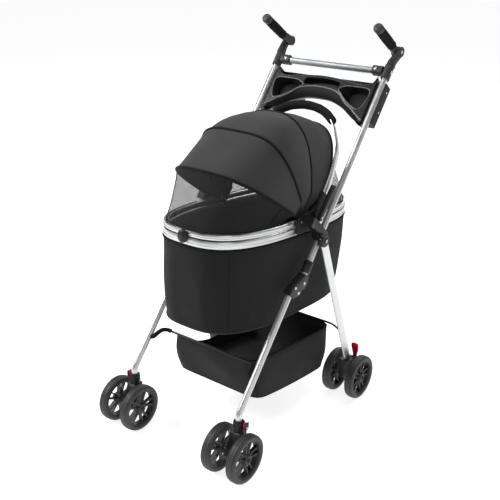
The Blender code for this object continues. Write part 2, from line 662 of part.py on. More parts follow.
def hem_start(phi, reach, power, y):
    """Where along a bow the fabric begins, just above the upper rail."""
    rail_top = ring_point(0.0, y - RING_CENTRE[0], 0.0192)[2]
    low = (rail_top + 0.0050 - HOOD_PIVOT[1]) / math.sin(phi)
    return math.asin(min(1.0, (low / reach) ** (power / 2))) / math.pi


FABRIC_GAP = 0.0037


def panel(name, i, j, rows=4, cols=21):
    """Fabric stretched straight from bow i back to bow j, just clear of both."""
    grid = [[] for _ in range(rows)]
    for s in spaced(cols):
        ends = []
        for number in (i, j):
            phi, reach, power = bow_shape(number)
            start = hem_start(phi, reach, power, HOOD_PIVOT[0])
            ends.append(Vector(bow_point(phi, reach, power, 0.0170, start + (1 - 2 * start) * s)))
        chord = ends[1] - ends[0]
        clear = min(FABRIC_GAP / chord.length, 0.4)
        for r, row in enumerate(grid):
            f = clear + (1 - 2 * clear) * r / (rows - 1)
            row.append(ends[0] + chord * f)
    skin(name, grid, 0.0015, "grey_fabric", False)


def window(name, i, ahead, rows=4, cols=21):
    """Mesh from a bow down to the front or rear half of the upper rail."""
    phi, reach, power = bow_shape(i)
    start = hem_start(phi, reach, power, HOOD_PIVOT[0] + ahead * 0.05)
    grid = []
    for r in range(rows):
        f = r / (rows - 1)
        row = []
        for s in spaced(cols):
            s_in = start + (1 - 2 * start) * s
            rho = reach * max(math.sin(math.pi * s_in), 0.0) ** (2 / power)
            upper = Vector(bow_point(phi - ahead * FABRIC_GAP / rho, reach, power, 0.0170, s_in))
            th = math.pi * (0.06 + 0.88 * s)
            c, sn = math.cos(th), math.sin(th)
            x = math.copysign(RING_A * abs(c) ** (2 / RING_POWER), c)
            lower = Vector(ring_point(x, ahead * RING_B * abs(sn) ** (2 / RING_POWER), 0.0210))
            row.append(upper * (1 - f) + lower * f)
        grid.append(row)
    skin(name, grid, 0.0012 * -ahead, "mesh_fabric", False)


# ---------------------------------------------------------------- assembly

JOINTS = {
    "frame_fold_axis": (on_tube(FOLD_T), ("front_leg", "front_wire", "fold_bracket", "caster_socket", "under_basket")),
    "rear_leg_axis": (LEG_HINGE, ("rear_leg", "rear_wire", "wheel_housing")),
    "hood_axis": (HOOD_PIVOT, ("bow_1", "bow_2", "bow_3", "hood_front", "hood_middle", "front_window")),
    "carry_handle_axis": (CARRY_FOOT, ("carry_handle",)),
    "grip_axis": (ELBOW, ("hand_grip",)),
}


def parent_to_axes():
    """Hang each moving group on an empty that stands on its joint's axis."""
    for name, (centre, starts) in JOINTS.items():
        axis = bpy.data.objects.new(name, None)
        PARTS.objects.link(axis)
        axis.matrix_world = at(0.0, *centre)
        bpy.context.view_layer.update()
        for obj in list(PARTS.objects):
            if obj.type != "EMPTY" and obj.name.startswith(starts) and obj.parent is None:
                obj.parent = axis
                obj.matrix_parent_inverse = axis.matrix_world.inverted()


for tag, sign in SIDES:
    handle_side(tag, sign)
    hand_grip(tag, sign)
    fold_sleeve(tag, sign)
    carrier_release(tag, sign)
    front_leg(tag, sign)
    caster(tag, sign)
    rear_leg(tag, sign)
    side_bracket(tag, sign)
crossbar()
parent_tray()
basket_wires()
wheels()
under_basket()
rails()
bag()
carry_handle()
front_latch()
for number in BOW_TOPS:
    bow(number)
panel("hood_front", 1, 2)
panel("hood_middle", 2, 3)
panel("hood_back", 3, 4)
window("front_window", 1, -1)
window("rear_window", 4, 1)
parent_to_axes()
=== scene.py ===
"""Pet stroller: the visual model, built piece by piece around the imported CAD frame.

Everything is in metres in the CAD's frame: +Z up and the front faces -Y. Lengths along Y are
measured from the front axle, as in the CAD source, and moved by FRONT_AXLE_Y.
"""
import json
import math

import bmesh
import bpy
from mathutils import Matrix, Vector, noise


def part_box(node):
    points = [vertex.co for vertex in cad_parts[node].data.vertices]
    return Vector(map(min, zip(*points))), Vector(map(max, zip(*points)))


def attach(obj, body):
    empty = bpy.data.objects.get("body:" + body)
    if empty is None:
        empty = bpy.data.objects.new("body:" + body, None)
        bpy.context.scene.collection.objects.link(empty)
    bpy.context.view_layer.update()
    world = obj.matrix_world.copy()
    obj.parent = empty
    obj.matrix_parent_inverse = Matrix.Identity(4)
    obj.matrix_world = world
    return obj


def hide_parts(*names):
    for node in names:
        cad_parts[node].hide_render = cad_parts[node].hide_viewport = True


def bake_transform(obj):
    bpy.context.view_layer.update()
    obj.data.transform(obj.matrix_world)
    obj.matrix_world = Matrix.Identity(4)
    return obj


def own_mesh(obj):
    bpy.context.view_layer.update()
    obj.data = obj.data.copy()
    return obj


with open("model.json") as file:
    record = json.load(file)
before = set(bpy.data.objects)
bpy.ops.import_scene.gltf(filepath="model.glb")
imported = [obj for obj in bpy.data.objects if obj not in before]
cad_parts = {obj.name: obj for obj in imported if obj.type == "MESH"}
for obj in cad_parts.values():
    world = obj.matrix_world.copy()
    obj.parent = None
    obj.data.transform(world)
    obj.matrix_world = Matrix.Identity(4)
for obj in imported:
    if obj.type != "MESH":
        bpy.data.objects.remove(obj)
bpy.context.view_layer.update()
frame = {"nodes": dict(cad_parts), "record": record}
NODES = frame["nodes"]
NODE_BODY = {node: body for body, nodes in frame["record"]["behaviour"]["bodies"].items() for node in nodes}
SIDES = (("l", -1), ("r", 1))

FRONT_AXLE_Y = -0.34460
FRONT_TRACK = 0.1820
REAR_TRACK = 0.2143
TUBE_X = 0.1810
TUBE_R = 0.0085
TUBE_TOP = (0.6760, 0.8920)
TUBE_ANGLE = math.radians(50.5)
CROSSBAR_T = -0.0190
FOLD_T = 0.6070
LEG_PATH = [(0.0262, 0.1340), (0.0290, 0.1600), (0.0970, 0.2409), (0.1500, 0.3041), (0.2440, 0.4160)]
LEG_HINGE = (0.3620, 0.5225)
LEG_FOOT = (0.5030, 0.0910)
ELBOW = (0.7390, 0.9545)
RING_CENTRE = (0.3560, 0.5555)
RING_PITCH = math.radians(-5.3)
RING_A = 0.1450
RING_B = 0.3030
RING_POWER = 2.95
RAIL_FACE = 0.0072
CARRY_FOOT = (0.3850, 0.5800)
HOOD_PIVOT = (0.3600, 0.5550)
HOOD_HALF_W = 0.1500
# each bow's top (y, z) and its squareness
BOW_TOPS = {1: (0.1110, 0.7345, 3.0), 2: (0.2520, 0.8030, 3.8), 3: (0.4110, 0.8230, 2.6), 4: (0.5830, 0.7640, 2.45)}
CLOTH_INSET = 0.0170


# ---------------------------------------------------------------- materials

def feed(tree, target, inputs):
    """Link a node's inputs to other nodes' outputs, or set their values."""
    for key, value in inputs.items():
        if isinstance(value, bpy.types.NodeSocket):
            tree.links.new(value, target.inputs[key])
        else:
            target.inputs[key].default_value = value


def node(tree, kind, inputs=None, **settings):
    """A shader node; inputs are values or the outputs to link."""
    made = tree.nodes.new("ShaderNode" + kind)
    for key, value in settings.items():
        setattr(made, key, value)
    feed(tree, made, inputs or {})
    return made


def maths(tree, operation, a, b=0.0):
    return node(tree, "Math", {0: a, 1: b}, operation=operation).outputs[0]


def spread(tree, value, low, high, from_low=0.3, from_high=0.7):
    """A texture's value mapped to the range low to high."""
    return node(tree, "MapRange", {"Value": value, "From Min": from_low, "From Max": from_high,
                                   "To Min": low, "To Max": high}).outputs[0]


def blank(name):
    mat = bpy.data.materials.new(name)
    mat.use_nodes = True
    return mat, mat.node_tree, mat.node_tree.nodes["Principled BSDF"]


def tinted(tree, factor, base, light):
    """A mix from a colour, or from a node's output, to a lighter colour."""
    base = base if isinstance(base, bpy.types.NodeSocket) else (*base, 1)
    return node(tree, "Mix", {"Factor": factor, "A": base, "B": (*light, 1)}, data_type="RGBA").outputs[2]


def noise_of(tree, coords, scale, detail=4.0):
    return node(tree, "TexNoise", {"Vector": coords, "Scale": scale, "Detail": detail}).outputs[0]


def bumped(tree, height, distance, strength):
    return node(tree, "Bump", {"Height": height, "Distance": distance, "Strength": strength}).outputs[0]


def brighter(colour, gain):
    """A colour times a gain, which may be below 1."""
    return tuple(min(1.0, c * gain) for c in colour)


def moulded_finish(name, colour, rough, grain, height, wear=0.25, shine=0.30, coat=0.0, metallic=0.0):
    """Moulded plastic, rubber or paint: a fine grain, uneven gloss and edges rubbed lighter."""
    mat, tree, shader = blank(name)
    coords = node(tree, "TexCoord").outputs["Object"]
    broad = noise_of(tree, coords, 18.0)
    body = tinted(tree, broad, brighter(colour, 0.82), brighter(colour, 1.22))
    rubbed = spread(tree, node(tree, "NewGeometry").outputs["Pointiness"], 0.0, wear, 0.53, 0.66)
    feed(tree, shader, {"Base Color": tinted(tree, rubbed, body, brighter(colour, 5.0)),
                        "Roughness": spread(tree, broad, rough - 0.05, rough + 0.07),
                        "Normal": bumped(tree, noise_of(tree, coords, grain, 3.0), height, 0.6),
                        "Metallic": metallic, "Specular IOR Level": shine, "Coat Weight": coat,
                        "Coat Roughness": 0.12})
    return mat


def drawn_metal(name, colour, rough):
    """Drawn or anodised metal: fine streaks along the length, which is V in the piece's map."""
    mat, tree, shader = blank(name)
    where = node(tree, "UVMap", uv_map="weave").outputs[0]
    along = node(tree, "Mapping", {"Vector": where, "Scale": (700.0, 5.0, 1.0)}).outputs[0]
    streak = noise_of(tree, along, 1.0, 3.0)
    cloud = noise_of(tree, node(tree, "TexCoord").outputs["Object"], 25.0)
    feed(tree, shader, {"Base Color": tinted(tree, streak, brighter(colour, 0.94), brighter(colour, 1.04)),
                        "Roughness": spread(tree, cloud, rough - 0.05, rough + 0.08),
                        "Normal": bumped(tree, streak, 0.00001, 0.3), "Metallic": 1.0})
    return mat


def thread_wave(tree, pitch):
    """Sines across and along the cloth with one period per thread."""
    where = node(tree, "SeparateXYZ", {0: node(tree, "UVMap", uv_map="weave").outputs[0]})
    return [maths(tree, "SINE", maths(tree, "MULTIPLY", where.outputs[axis], 2 * math.pi / pitch)) for axis in (0, 1)]


def woven(name, colour, pitch, sheen):
    """Plain-weave cloth: crossing threads, uneven dye and a soft sheen."""
    mat, tree, shader = blank(name)
    cross = maths(tree, "MULTIPLY", *thread_wave(tree, pitch))
    coords = node(tree, "TexCoord").outputs["Object"]
    fuzz = noise_of(tree, coords, 1400.0, 2.0)
    body = tinted(tree, noise_of(tree, coords, 9.0), brighter(colour, 0.80), brighter(colour, 1.18))
    raised = spread(tree, cross, 0.0, 0.20, 0.0, 1.0)
    feed(tree, shader, {"Base Color": tinted(tree, raised, body, brighter(colour, 2.2)),
                        "Roughness": spread(tree, fuzz, 0.77, 0.95),
                        "Normal": bumped(tree, maths(tree, "ADD", cross, fuzz), pitch * 0.16, 0.7),
                        "Sheen Weight": sheen, "Sheen Roughness": 0.45, "Specular IOR Level": 0.18})
    return mat


def netting(name, colour, pitch, open_above):
    """Knitted net: open cells between threads, seen through."""
    mat, tree, shader = blank(name)
    cell = maths(tree, "MULTIPLY", *(maths(tree, "ABSOLUTE", wave) for wave in thread_wave(tree, pitch * 2)))
    dye = noise_of(tree, node(tree, "TexCoord").outputs["Object"], 12.0)
    feed(tree, shader, {"Base Color": tinted(tree, dye, brighter(colour, 0.8), brighter(colour, 1.3)),
                        "Alpha": maths(tree, "LESS_THAN", cell, open_above),
                        "Normal": bumped(tree, cell, -0.0002, 0.6), "Roughness": 0.7,
                        "Specular IOR Level": 0.15})
    return mat


FINISHES = (
    # name, material slot, maker, colour, then the maker's own settings
    ("alu", "alu", drawn_metal, (0.70, 0.705, 0.71), 0.33),
    # painted shade: a darker copy of the tube aluminium, so the rails come out as dark as they look under the light
    ("rail_alu", "alu", drawn_metal, (0.58, 0.585, 0.59), 0.30),
    ("bar_grey", "alu", drawn_metal, (0.30, 0.31, 0.32), 0.40),
    ("steel", "steel", moulded_finish, (0.62, 0.62, 0.63), 0.25, 900.0, 0.00002, 0.0, 0.30, 0.0, 1.0),
    ("black_plastic", "black_plastic", moulded_finish, (0.010, 0.010, 0.011), 0.40, 1500.0, 0.00008),
    ("gloss_black", "gloss_black", moulded_finish, (0.007, 0.007, 0.008), 0.30, 500.0, 0.00001, 0.25, 0.30, 0.12),
    # painted highlight: a lighter grey copy of the gloss black, standing in for the bright highlights along the tray's
    # rims
    ("gloss_rim", "gloss_black", moulded_finish, (0.110, 0.110, 0.112), 0.26, 500.0, 0.00001, 0.25, 0.30, 0.25),
    ("well_black", "gloss_black", moulded_finish, (0.005, 0.005, 0.006), 0.55, 900.0, 0.00004, 0.0, 0.15),
    ("textured_black", "black_plastic", moulded_finish, (0.016, 0.016, 0.017), 0.60, 900.0, 0.00025),
    ("arm_plastic", "black_plastic", moulded_finish, (0.030, 0.030, 0.031), 0.50, 900.0, 0.00020),
    ("black_wire", "black_wire", moulded_finish, (0.010, 0.010, 0.011), 0.35, 700.0, 0.00004, 0.10),
    ("foam", "rubber", moulded_finish, (0.010, 0.010, 0.011), 0.85, 2200.0, 0.00030, 0.10, 0.15),
    ("grip_tip", "rubber", moulded_finish, (0.030, 0.030, 0.032), 0.45, 1200.0, 0.00010, 0.20),
    ("tyre", "wheel", moulded_finish, (0.026, 0.026, 0.027), 0.52, 700.0, 0.00060, 0.15, 0.50),
    ("rim", "wheel", moulded_finish, (0.004, 0.004, 0.005), 0.40, 1500.0, 0.00006, 0.10),
    ("red_plastic", "red_plastic", moulded_finish, (0.52, 0.008, 0.022), 0.34, 1500.0, 0.00006, 0.06),
    ("hood_cloth", "grey_fabric", woven, (0.040, 0.040, 0.042), 0.0009, 0.10),
    ("bag_cloth", "black_fabric", woven, (0.012, 0.012, 0.013), 0.0011, 0.05),
    ("basket_cloth", "black_fabric", woven, (0.018, 0.018, 0.019), 0.0013, 0.06),
    ("pad_cloth", "pad", woven, (0.020, 0.020, 0.022), 0.0012, 0.10),
    ("piping", "black_fabric", woven, (0.006, 0.006, 0.007), 0.0009, 0.03),
    # painted reflection: a lighter grey copy of the piping cloth, for the light line along the bag's bottom edge
    ("trim", "black_fabric", woven, (0.035, 0.035, 0.037), 0.0009, 0.08),
    ("net", "mesh_fabric", netting, (0.032, 0.032, 0.034), 0.0014, 0.38),
)
MATS = {name: make(name, *settings) for name, _, make, *settings in FINISHES}


# ---------------------------------------------------------------- frames of reference

def place(x, y, z):
    """World point from a y measured from the front axle."""
    return Vector((x, y + FRONT_AXLE_Y, z))


def on_tube(t, q):
    """(y, z) at distance t down the handle tube from its nominal top, q in front of its axis."""
    c, s = math.cos(TUBE_ANGLE), math.sin(TUBE_ANGLE)
    return (TUBE_TOP[0] - c * t - s * q, TUBE_TOP[1] - s * t + c * q)


def tube_point(x, t, q=0.0):
    return place(x, *on_tube(t, q))


TUBE_UP = (tube_point(0, 0) - tube_point(0, 1)).normalized()
TUBE_FRONT = (tube_point(0, 0, 1) - tube_point(0, 0, 0)).normalized()
ACROSS = Vector((1, 0, 0))
UP = Vector((0, 0, 1))


def ring_point(x, v, w):
    """World point in the carrier's pitched frame: v to the rear, w up."""
    c, s = math.cos(RING_PITCH), math.sin(RING_PITCH)
    return place(x, RING_CENTRE[0] + v * c - w * s, RING_CENTRE[1] + v * s + w * c)


RING_UP = (ring_point(0, 0, 1) - ring_point(0, 0, 0)).normalized()


def power_curve(angle, power):
    """Cosine and sine of a superellipse at an angle."""
    c, s = math.cos(angle), math.sin(angle)
    return math.copysign(abs(c) ** (2 / power), c), math.copysign(abs(s) ** (2 / power), s)


def smooth_step(value):
    value = min(1.0, max(0.0, value))
    return value * value * (3 - 2 * value)


def lerp(a, b, f):
    return a + (b - a) * f


def full_width(half):
    """An outline across the whole part from its +X half, which starts at the middle."""
    return [(-x, t) for x, t in reversed(half[1:])] + half


# ---------------------------------------------------------------- mesh builders

def linked(name, data):
    """A new object in the scene."""
    obj = bpy.data.objects.new(name, data)
    bpy.context.scene.collection.objects.link(obj)
    return obj


def piece(name, mesh, mats, body, stands_for=(), sharp=35.0):
    """A new piece with its materials, on its CAD body, standing for CAD nodes."""
    mats = [mats] if isinstance(mats, str) else mats
    obj = linked(name, mesh)
    mesh.materials.clear()
    for mat in mats:
        mesh.materials.append(MATS[mat])
    mesh.shade_smooth()
    mesh.set_sharp_from_angle(angle=math.radians(sharp))
    if body:
        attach(obj, body)
    if stands_for:
        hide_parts(*([stands_for] if isinstance(stands_for, str) else stands_for))
    return obj


def arc_lengths(points, closed):
    """Distance of each point along a polyline, with the whole length at the end."""
    out = [0.0]
    ends = points[1:] + ([points[0]] if closed else [])
    for a, b in zip(points, ends):
        out.append(out[-1] + (b - a).length)
    return out


def grid_mesh(name, rows, closed, cyclic=False, cap_start=False, cap_end=False):
    """Quads over rows of points, mapped in metres; closed joins each row, cyclic joins the rows."""
    bm = bmesh.new()
    layer = bm.loops.layers.uv.new("weave")
    grid = [[bm.verts.new(p) for p in row] for row in rows]
    count = len(rows[0])
    middle = rows[len(rows) // 2]
    us = arc_lengths(middle, closed)
    vs = arc_lengths([row[count // 4] for row in rows], cyclic)
    spans = len(rows) if cyclic else len(rows) - 1
    for i in range(spans):
        lower, upper = grid[i], grid[(i + 1) % len(grid)]
        for j in range(count if closed else count - 1):
            k = (j + 1) % count
            face = bm.faces.new((lower[j], lower[k], upper[k], upper[j]))
            for loop, uv in zip(face.loops, ((us[j], vs[i]), (us[j + 1], vs[i]), (us[j + 1], vs[i + 1]),
                                             (us[j], vs[i + 1]))):
                loop[layer].uv = uv
    if cap_start:
        bm.faces.new(list(reversed(grid[0])))
    if cap_end:
        bm.faces.new(grid[-1])
    bmesh.ops.recalc_face_normals(bm, faces=bm.faces)
    mesh = bpy.data.meshes.new(name)
    bm.to_mesh(mesh)
    bm.free()
    return mesh


def loft(name, rows, mats, body, stands_for=(), sharp=35.0, cap_start=True):
    """A piece skinned over closed rows of points, closed at its last row and usually at its first."""
    return piece(name, grid_mesh(name, rows, True, False, cap_start, True), mats, body, stands_for, sharp)


def sweep(name, path, profile, ref, mats, body, stands_for=(), cyclic=False, sharp=35.0):
    """A profile of (u, v) points carried along a path; u lies along ref as nearly as it can.

    The profile may also be a function of the share of the path behind it.
    """
    rows = []
    last = len(path) - 1
    for i, here in enumerate(path):
        before = path[i - 1] if i or cyclic else here
        after = path[(i + 1) % len(path)] if i < last or cyclic else here
        forward = (after - before).normalized()
        side = (ref - forward * ref.dot(forward)).normalized()
        cross = forward.cross(side)
        section = profile(i / last) if callable(profile) else profile
        rows.append([here + side * u + cross * v for u, v in section])
    return piece(name, grid_mesh(name, rows, True, cyclic, not cyclic, not cyclic), mats, body, stands_for, sharp)


def cord(name, path, radius, ref, mats, body, stands_for=(), cyclic=False, count=8):
    """A round, smooth-shaded cord, hem or wire along a path."""
    return sweep(name, path, circle(radius, count), ref, mats, body, stands_for, cyclic, 80.0)


def lathe(name, profile, origin, axis, mats, body, steps=48, stands_for=(), squash=1.0, side=None, sharp=35.0):
    """A profile of (radius, height) points turned about an axis; squash narrows it across side."""
    axis = axis.normalized()
    side = side or (ACROSS if abs(axis.x) < 0.9 else UP)
    side = (side - axis * side.dot(axis)).normalized()
    cross = axis.cross(side)
    rows = []
    for radius, height in profile:
        radius = max(radius, 0.00002)
        rows.append([origin + axis * height + side * u + cross * (squash * v) for u, v in circle(radius, steps)])
    return loft(name, rows, mats, body, stands_for, sharp)


def oval(half_u, half_v, power, count):
    """A superellipse: 2 is an ellipse, and more is squarer."""
    return [(half_u * c, half_v * s) for c, s in
            (power_curve(2 * math.pi * k / count, power) for k in range(count))]


def circle(radius, count):
    return oval(radius, radius, 2, count)


def fluted(half_u, half_v, flutes, depth):
    """A tube's outline with shallow lengthwise grooves."""
    out = []
    for k in range(flutes):
        for share, drop in ((-0.34, 0.0), (-0.12, 0.0), (0.12, 0.0), (0.34, 0.0), (0.44, depth), (0.56, depth)):
            angle = 2 * math.pi * (k + share) / flutes
            out.append(((half_u - drop) * math.cos(angle), (half_v - drop) * math.sin(angle)))
    return out


def rounded_box(half_u, half_v, radius, steps=4):
    out = []
    for cu, cv, start in ((1, 1, 0), (-1, 1, 90), (-1, -1, 180), (1, -1, 270)):
        for k in range(steps + 1):
            a = math.radians(start + 90 * k / steps)
            out.append((cu * (half_u - radius) + radius * math.cos(a), cv * (half_v - radius) + radius * math.sin(a)))
    return out


def rounded(points, radius, steps=8):
    """A polyline with its inner corners rounded."""
    out = [points[0]]
    for before, here, after in zip(points, points[1:], points[2:]):
        r = min(radius, (here - before).length * 0.48, (after - here).length * 0.48)
        start = here + (before - here).normalized() * r
        end = here + (after - here).normalized() * r
        out += [start * (1 - f) ** 2 + here * 2 * f * (1 - f) + end * f ** 2
                for f in (k / steps for k in range(steps + 1))]
    return out + [points[-1]]


def curved(points, closed=False, steps=6):
    """A Catmull-Rom curve through points."""
    count = len(points)
    out = []
    for i in range(count if closed else count - 1):
        if closed:
            p = [points[(i + k) % count] for k in (-1, 0, 1, 2)]
        else:
            p = [points[min(max(i + k, 0), count - 1)] for k in (-1, 0, 1, 2)]
        for k in range(steps):
            f = k / steps
            out.append(0.5 * (2 * p[1] + (p[2] - p[0]) * f + (2 * p[0] - 5 * p[1] + 4 * p[2] - p[3]) * f ** 2
                              + (3 * p[1] - p[0] - 3 * p[2] + p[3]) * f ** 3))
    return out if closed else out + [points[-1]]


def moulded(cad_node, width, mats):
    """A CAD node's own shape with rounded edges, standing for the node."""
    mesh = NODES[cad_node].data.copy()
    mesh.name = cad_node + "_shell"
    bm = bmesh.new()
    bm.from_mesh(mesh)
    bmesh.ops.remove_doubles(bm, verts=bm.verts, dist=0.00002)
    bmesh.ops.dissolve_limit(bm, angle_limit=math.radians(1.0), verts=bm.verts, edges=bm.edges)
    bm.to_mesh(mesh)
    bm.free()
    if "weave" not in mesh.uv_layers:
        mesh.uv_layers.new(name="weave")
    obj = piece(cad_node + "_shell", mesh, mats, NODE_BODY[cad_node], cad_node, 180.0)
    bevel = obj.modifiers.new("rounded_edges", "BEVEL")
    bevel.width = width
    bevel.segments = 3
    bevel.limit_method = "ANGLE"
    bevel.angle_limit = math.radians(30.0)
    bevel.harden_normals = True


def screw_head(name, centre, axis, radius, body, mat="steel"):
    """A pan-head screw with a round driver recess."""
    high = radius * 0.45
    profile = [(0.0, high * 0.45), (radius * 0.40, high * 0.45), (radius * 0.46, high), (radius * 0.80, high * 0.86),
               (radius * 0.97, high * 0.40), (radius, -0.0010)]
    return lathe(name, profile, centre, axis, mat, body, 20)


# ---------------------------------------------------------------- wheels

def wheel_mesh():
    """Ribbed tyre on a rim with five pairs of spokes; turned about X and centred on the origin."""
    bm = bmesh.new()
    layer = bm.loops.layers.uv.new("weave")

    def turned(profile, steps, mat, tread=()):
        """A closed profile of (radius, x) turned about X; the tread's rows are cut at every third step."""
        rows = []
        for index, (radius, x) in enumerate(profile):
            row = []
            for k in range(steps):
                cut = 0.0007 if index in tread and k % 3 == 0 else 0.0
                a = 2 * math.pi * k / steps
                row.append(bm.verts.new((x, (radius - cut) * math.cos(a), (radius - cut) * math.sin(a))))
            rows.append(row)
        for i, (lower, upper) in enumerate(zip(rows, rows[1:])):
            for k in range(steps):
                n = (k + 1) % steps
                face = bm.faces.new((lower[k], lower[n], upper[n], upper[k]))
                face.material_index = mat
                for loop, (du, dv) in zip(face.loops, ((0, 0), (1, 0), (1, 1), (0, 1))):
                    loop[layer].uv = ((k + du) * 0.004, (i + dv) * 0.004)

    def joined(rings):
        """A closed bar of the rim's plastic through rings of points."""
        rings = [[bm.verts.new(p) for p in ring] for ring in rings]
        faces = [rings[0][::-1], rings[-1]]
        for lower, upper in zip(rings, rings[1:]):
            faces += [(lower[j - 1], lower[j], upper[j], upper[j - 1]) for j in range(len(lower))]
        for corners in faces:
            bm.faces.new(corners).material_index = 1

    def both_faces(profile):
        return profile + [(r, -x) for r, x in reversed(profile)]

    tyre = [(0.0498, -0.0105), (0.0515, -0.0124), (0.0550, -0.0134), (0.0590, -0.0130), (0.0618, -0.0112),
            (0.0632, -0.0086), (0.0622, -0.0080), (0.0622, -0.0072), (0.0638, -0.0064), (0.0640, -0.0022),
            (0.0629, -0.0015)]
    turned(both_faces(tyre) + tyre[:1], 96, 0, tread=(5, 8, 9, 12, 13, 16))
    rim = [(0.0500, -0.0102), (0.0485, -0.0108), (0.0470, -0.0098), (0.0466, -0.0050)]
    turned(both_faces(rim) + rim[:1], 72, 1)
    hub = [(0.00002, -0.0139), (0.0060, -0.0139), (0.0065, -0.0129), (0.0115, -0.0129), (0.0128, -0.0115),
           (0.0138, -0.0080), (0.0142, -0.0030)]
    turned(both_faces(hub), 40, 1)
    for k in range(5):
        for lean in (-1, 1):
            inner, outer = math.radians(72 * k + lean * 17), math.radians(72 * k + lean * 11)
            spoke = []
            for radius, angle, half, deep in ((0.0130, inner, 0.0022, 0.0060),
                                              (0.0300, (inner + outer) / 2, 0.0018, 0.0048),
                                              (0.0480, outer, 0.0025, 0.0056)):
                c, s = math.cos(angle), math.sin(angle)
                waisted = ((-1, -1), (-1, 1), (-0.2, 0.6), (0.2, 0.6), (1, 1), (1, -1), (0.2, -0.6), (-0.2, -0.6))
                spoke.append([(deep * u, radius * c - half * v * s, radius * s + half * v * c) for u, v in waisted])
            joined(spoke)
        web = []
        for radius, half_angle in ((0.0130, 20), (0.0190, 13), (0.0240, 9)):
            web.append([(x, radius * math.cos(math.radians(72 * k + lean * half_angle)),
                         radius * math.sin(math.radians(72 * k + lean * half_angle)))
                        for x, lean in ((-0.0030, -1), (-0.0030, 1), (0.0030, 1), (0.0030, -1))])
        joined(web)
    bmesh.ops.recalc_face_normals(bm, faces=bm.faces)
    mesh = bpy.data.meshes.new("wheel")
    bm.to_mesh(mesh)
    bm.free()
    return mesh


def wheel_nodes():
    """Each wheel's CAD node, the way its capped face looks along X, and its box."""
    for where in ("front", "rear"):
        for tag, sign in SIDES:
            for side, end in ((-1, "inner"), (1, "outer")):
                cad = f"{where}_wheel_{tag}_{end}"
                yield cad, sign * side, *(Vector(corner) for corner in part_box(cad))


def wheels():
    shape = wheel_mesh()
    for cad, facing, low, high in wheel_nodes():
        mesh = shape.copy()
        mesh.transform(Matrix.Translation((low + high) / 2))
        piece(cad + "_tyred", mesh, ["tyre", "rim"], NODE_BODY[cad], cad, 28.0)
        centre = (low + high) / 2
        centre.x = (high.x if facing > 0 else low.x) - 0.0006 * facing
        screw_head(cad + "_cap", centre, ACROSS * facing, 0.0058, NODE_BODY[cad], "black_plastic")


# ---------------------------------------------------------------- frame tubes

def frame_tubes():
    """Fluted tubes: handle tubes and front legs in line, flat rear legs, and the bar between the heads."""
    tube = fluted(TUBE_R, TUBE_R, 12, 0.0006)
    run = Vector((0.0, LEG_FOOT[0] - LEG_HINGE[0], LEG_FOOT[1] - LEG_HINGE[1])).normalized()
    for tag, sign in SIDES:
        x = sign * TUBE_X
        upper = [tube_point(x, t) for t in (FOLD_T + 0.0125, 0.4, 0.2, -0.0200)]
        lower = rounded([place(x, y, z) for y, z in LEG_PATH], 0.050, 10)
        top, foot = place(sign * 0.2000, *LEG_HINGE) - run * 0.0130, place(sign * REAR_TRACK, *LEG_FOOT)
        rear = [lerp(top, foot, k / 4) for k in range(5)]
        for cad, path, profile, body in (("handle_tube_", upper, tube, "upper_frame"),
                                         ("front_leg_", lower, tube, "front_legs"),
                                         ("rear_leg_", rear, fluted(0.0069, 0.0133, 14, 0.0005), "rear_legs")):
            sweep(cad + tag + "_drawn", path, profile, ACROSS, "alu", body, cad + tag)
        cap = [tube_point(sign * end, CROSSBAR_T) for end in (0.1380, 0.1400, 0.1560, 0.1575, 0.1680)]
        sweep("crossbar_cap_" + tag, cap, rounded_box(0.0130, 0.0118, 0.0060), TUBE_FRONT, "arm_plastic",
              "upper_frame")
        screw_head("crossbar_screw_" + tag, tube_point(sign * 0.1490, CROSSBAR_T, 0.0128), TUBE_FRONT, 0.0046,
                   "upper_frame")
    bar = [tube_point(x, CROSSBAR_T) for x in (-0.1680, -0.08, 0.0, 0.08, 0.1680)]
    sweep("crossbar_drawn", bar, fluted(0.0106, 0.0096, 8, 0.0005), TUBE_FRONT, "bar_grey", "upper_frame", "crossbar")


def rails():
    """Two extruded rails round the carrier, each with a shallow groove along its face."""
    for name, w, half in (("lower_rail", -0.0085, 0.0109), ("upper_rail", 0.0113, 0.0079)):
        path = [ring_point(x, v, w) for x, v in oval(RING_A, RING_B, RING_POWER, 96)]
        profile = [(half - 0.0025, RAIL_FACE - 0.0022), (half - 0.0012, RAIL_FACE - 0.0008),
                   (half - 0.0030, RAIL_FACE), (half * 0.30, RAIL_FACE + 0.0002), (half * 0.22, RAIL_FACE - 0.0009),
                   (-half * 0.22, RAIL_FACE - 0.0009), (-half * 0.30, RAIL_FACE + 0.0002),
                   (-half + 0.0030, RAIL_FACE), (-half + 0.0010, RAIL_FACE - 0.0012), (-half, RAIL_FACE - 0.0035)]
        profile += [(u, -v) for u, v in reversed(profile)]
        profile = [(u, -v) for u, v in profile]
        # the rails take the darker copy of the aluminium: painted shade
        sweep(name + "_extruded", path, profile, RING_UP, "rail_alu", "carrier", name, cyclic=True, sharp=40.0)


# ---------------------------------------------------------------- castings

CASTINGS = (("tube_head", 0.0022, "arm_plastic"), ("hub", 0.0018, "black_plastic"),
            ("fold_sleeve", 0.0016, "black_plastic"), ("carrier_release", 0.0022, "black_plastic"),
            ("fold_bracket", 0.0018, "black_plastic"), ("caster_socket", 0.0016, "black_plastic"),
            ("caster_fork", 0.0020, "black_plastic"), ("swivel_lock", 0.0008, "red_plastic"),
            ("wheel_housing", 0.0022, "black_plastic"), ("side_bracket", 0.0018, "black_plastic"))
KNUCKLE = [(0.0, 0.0), (0.0165, 0.0), (0.0177, 0.0012), (0.0177, 0.0128), (0.0163, 0.0148), (0.0090, 0.0150),
           (0.0085, 0.0138), (0.0, 0.0138)]


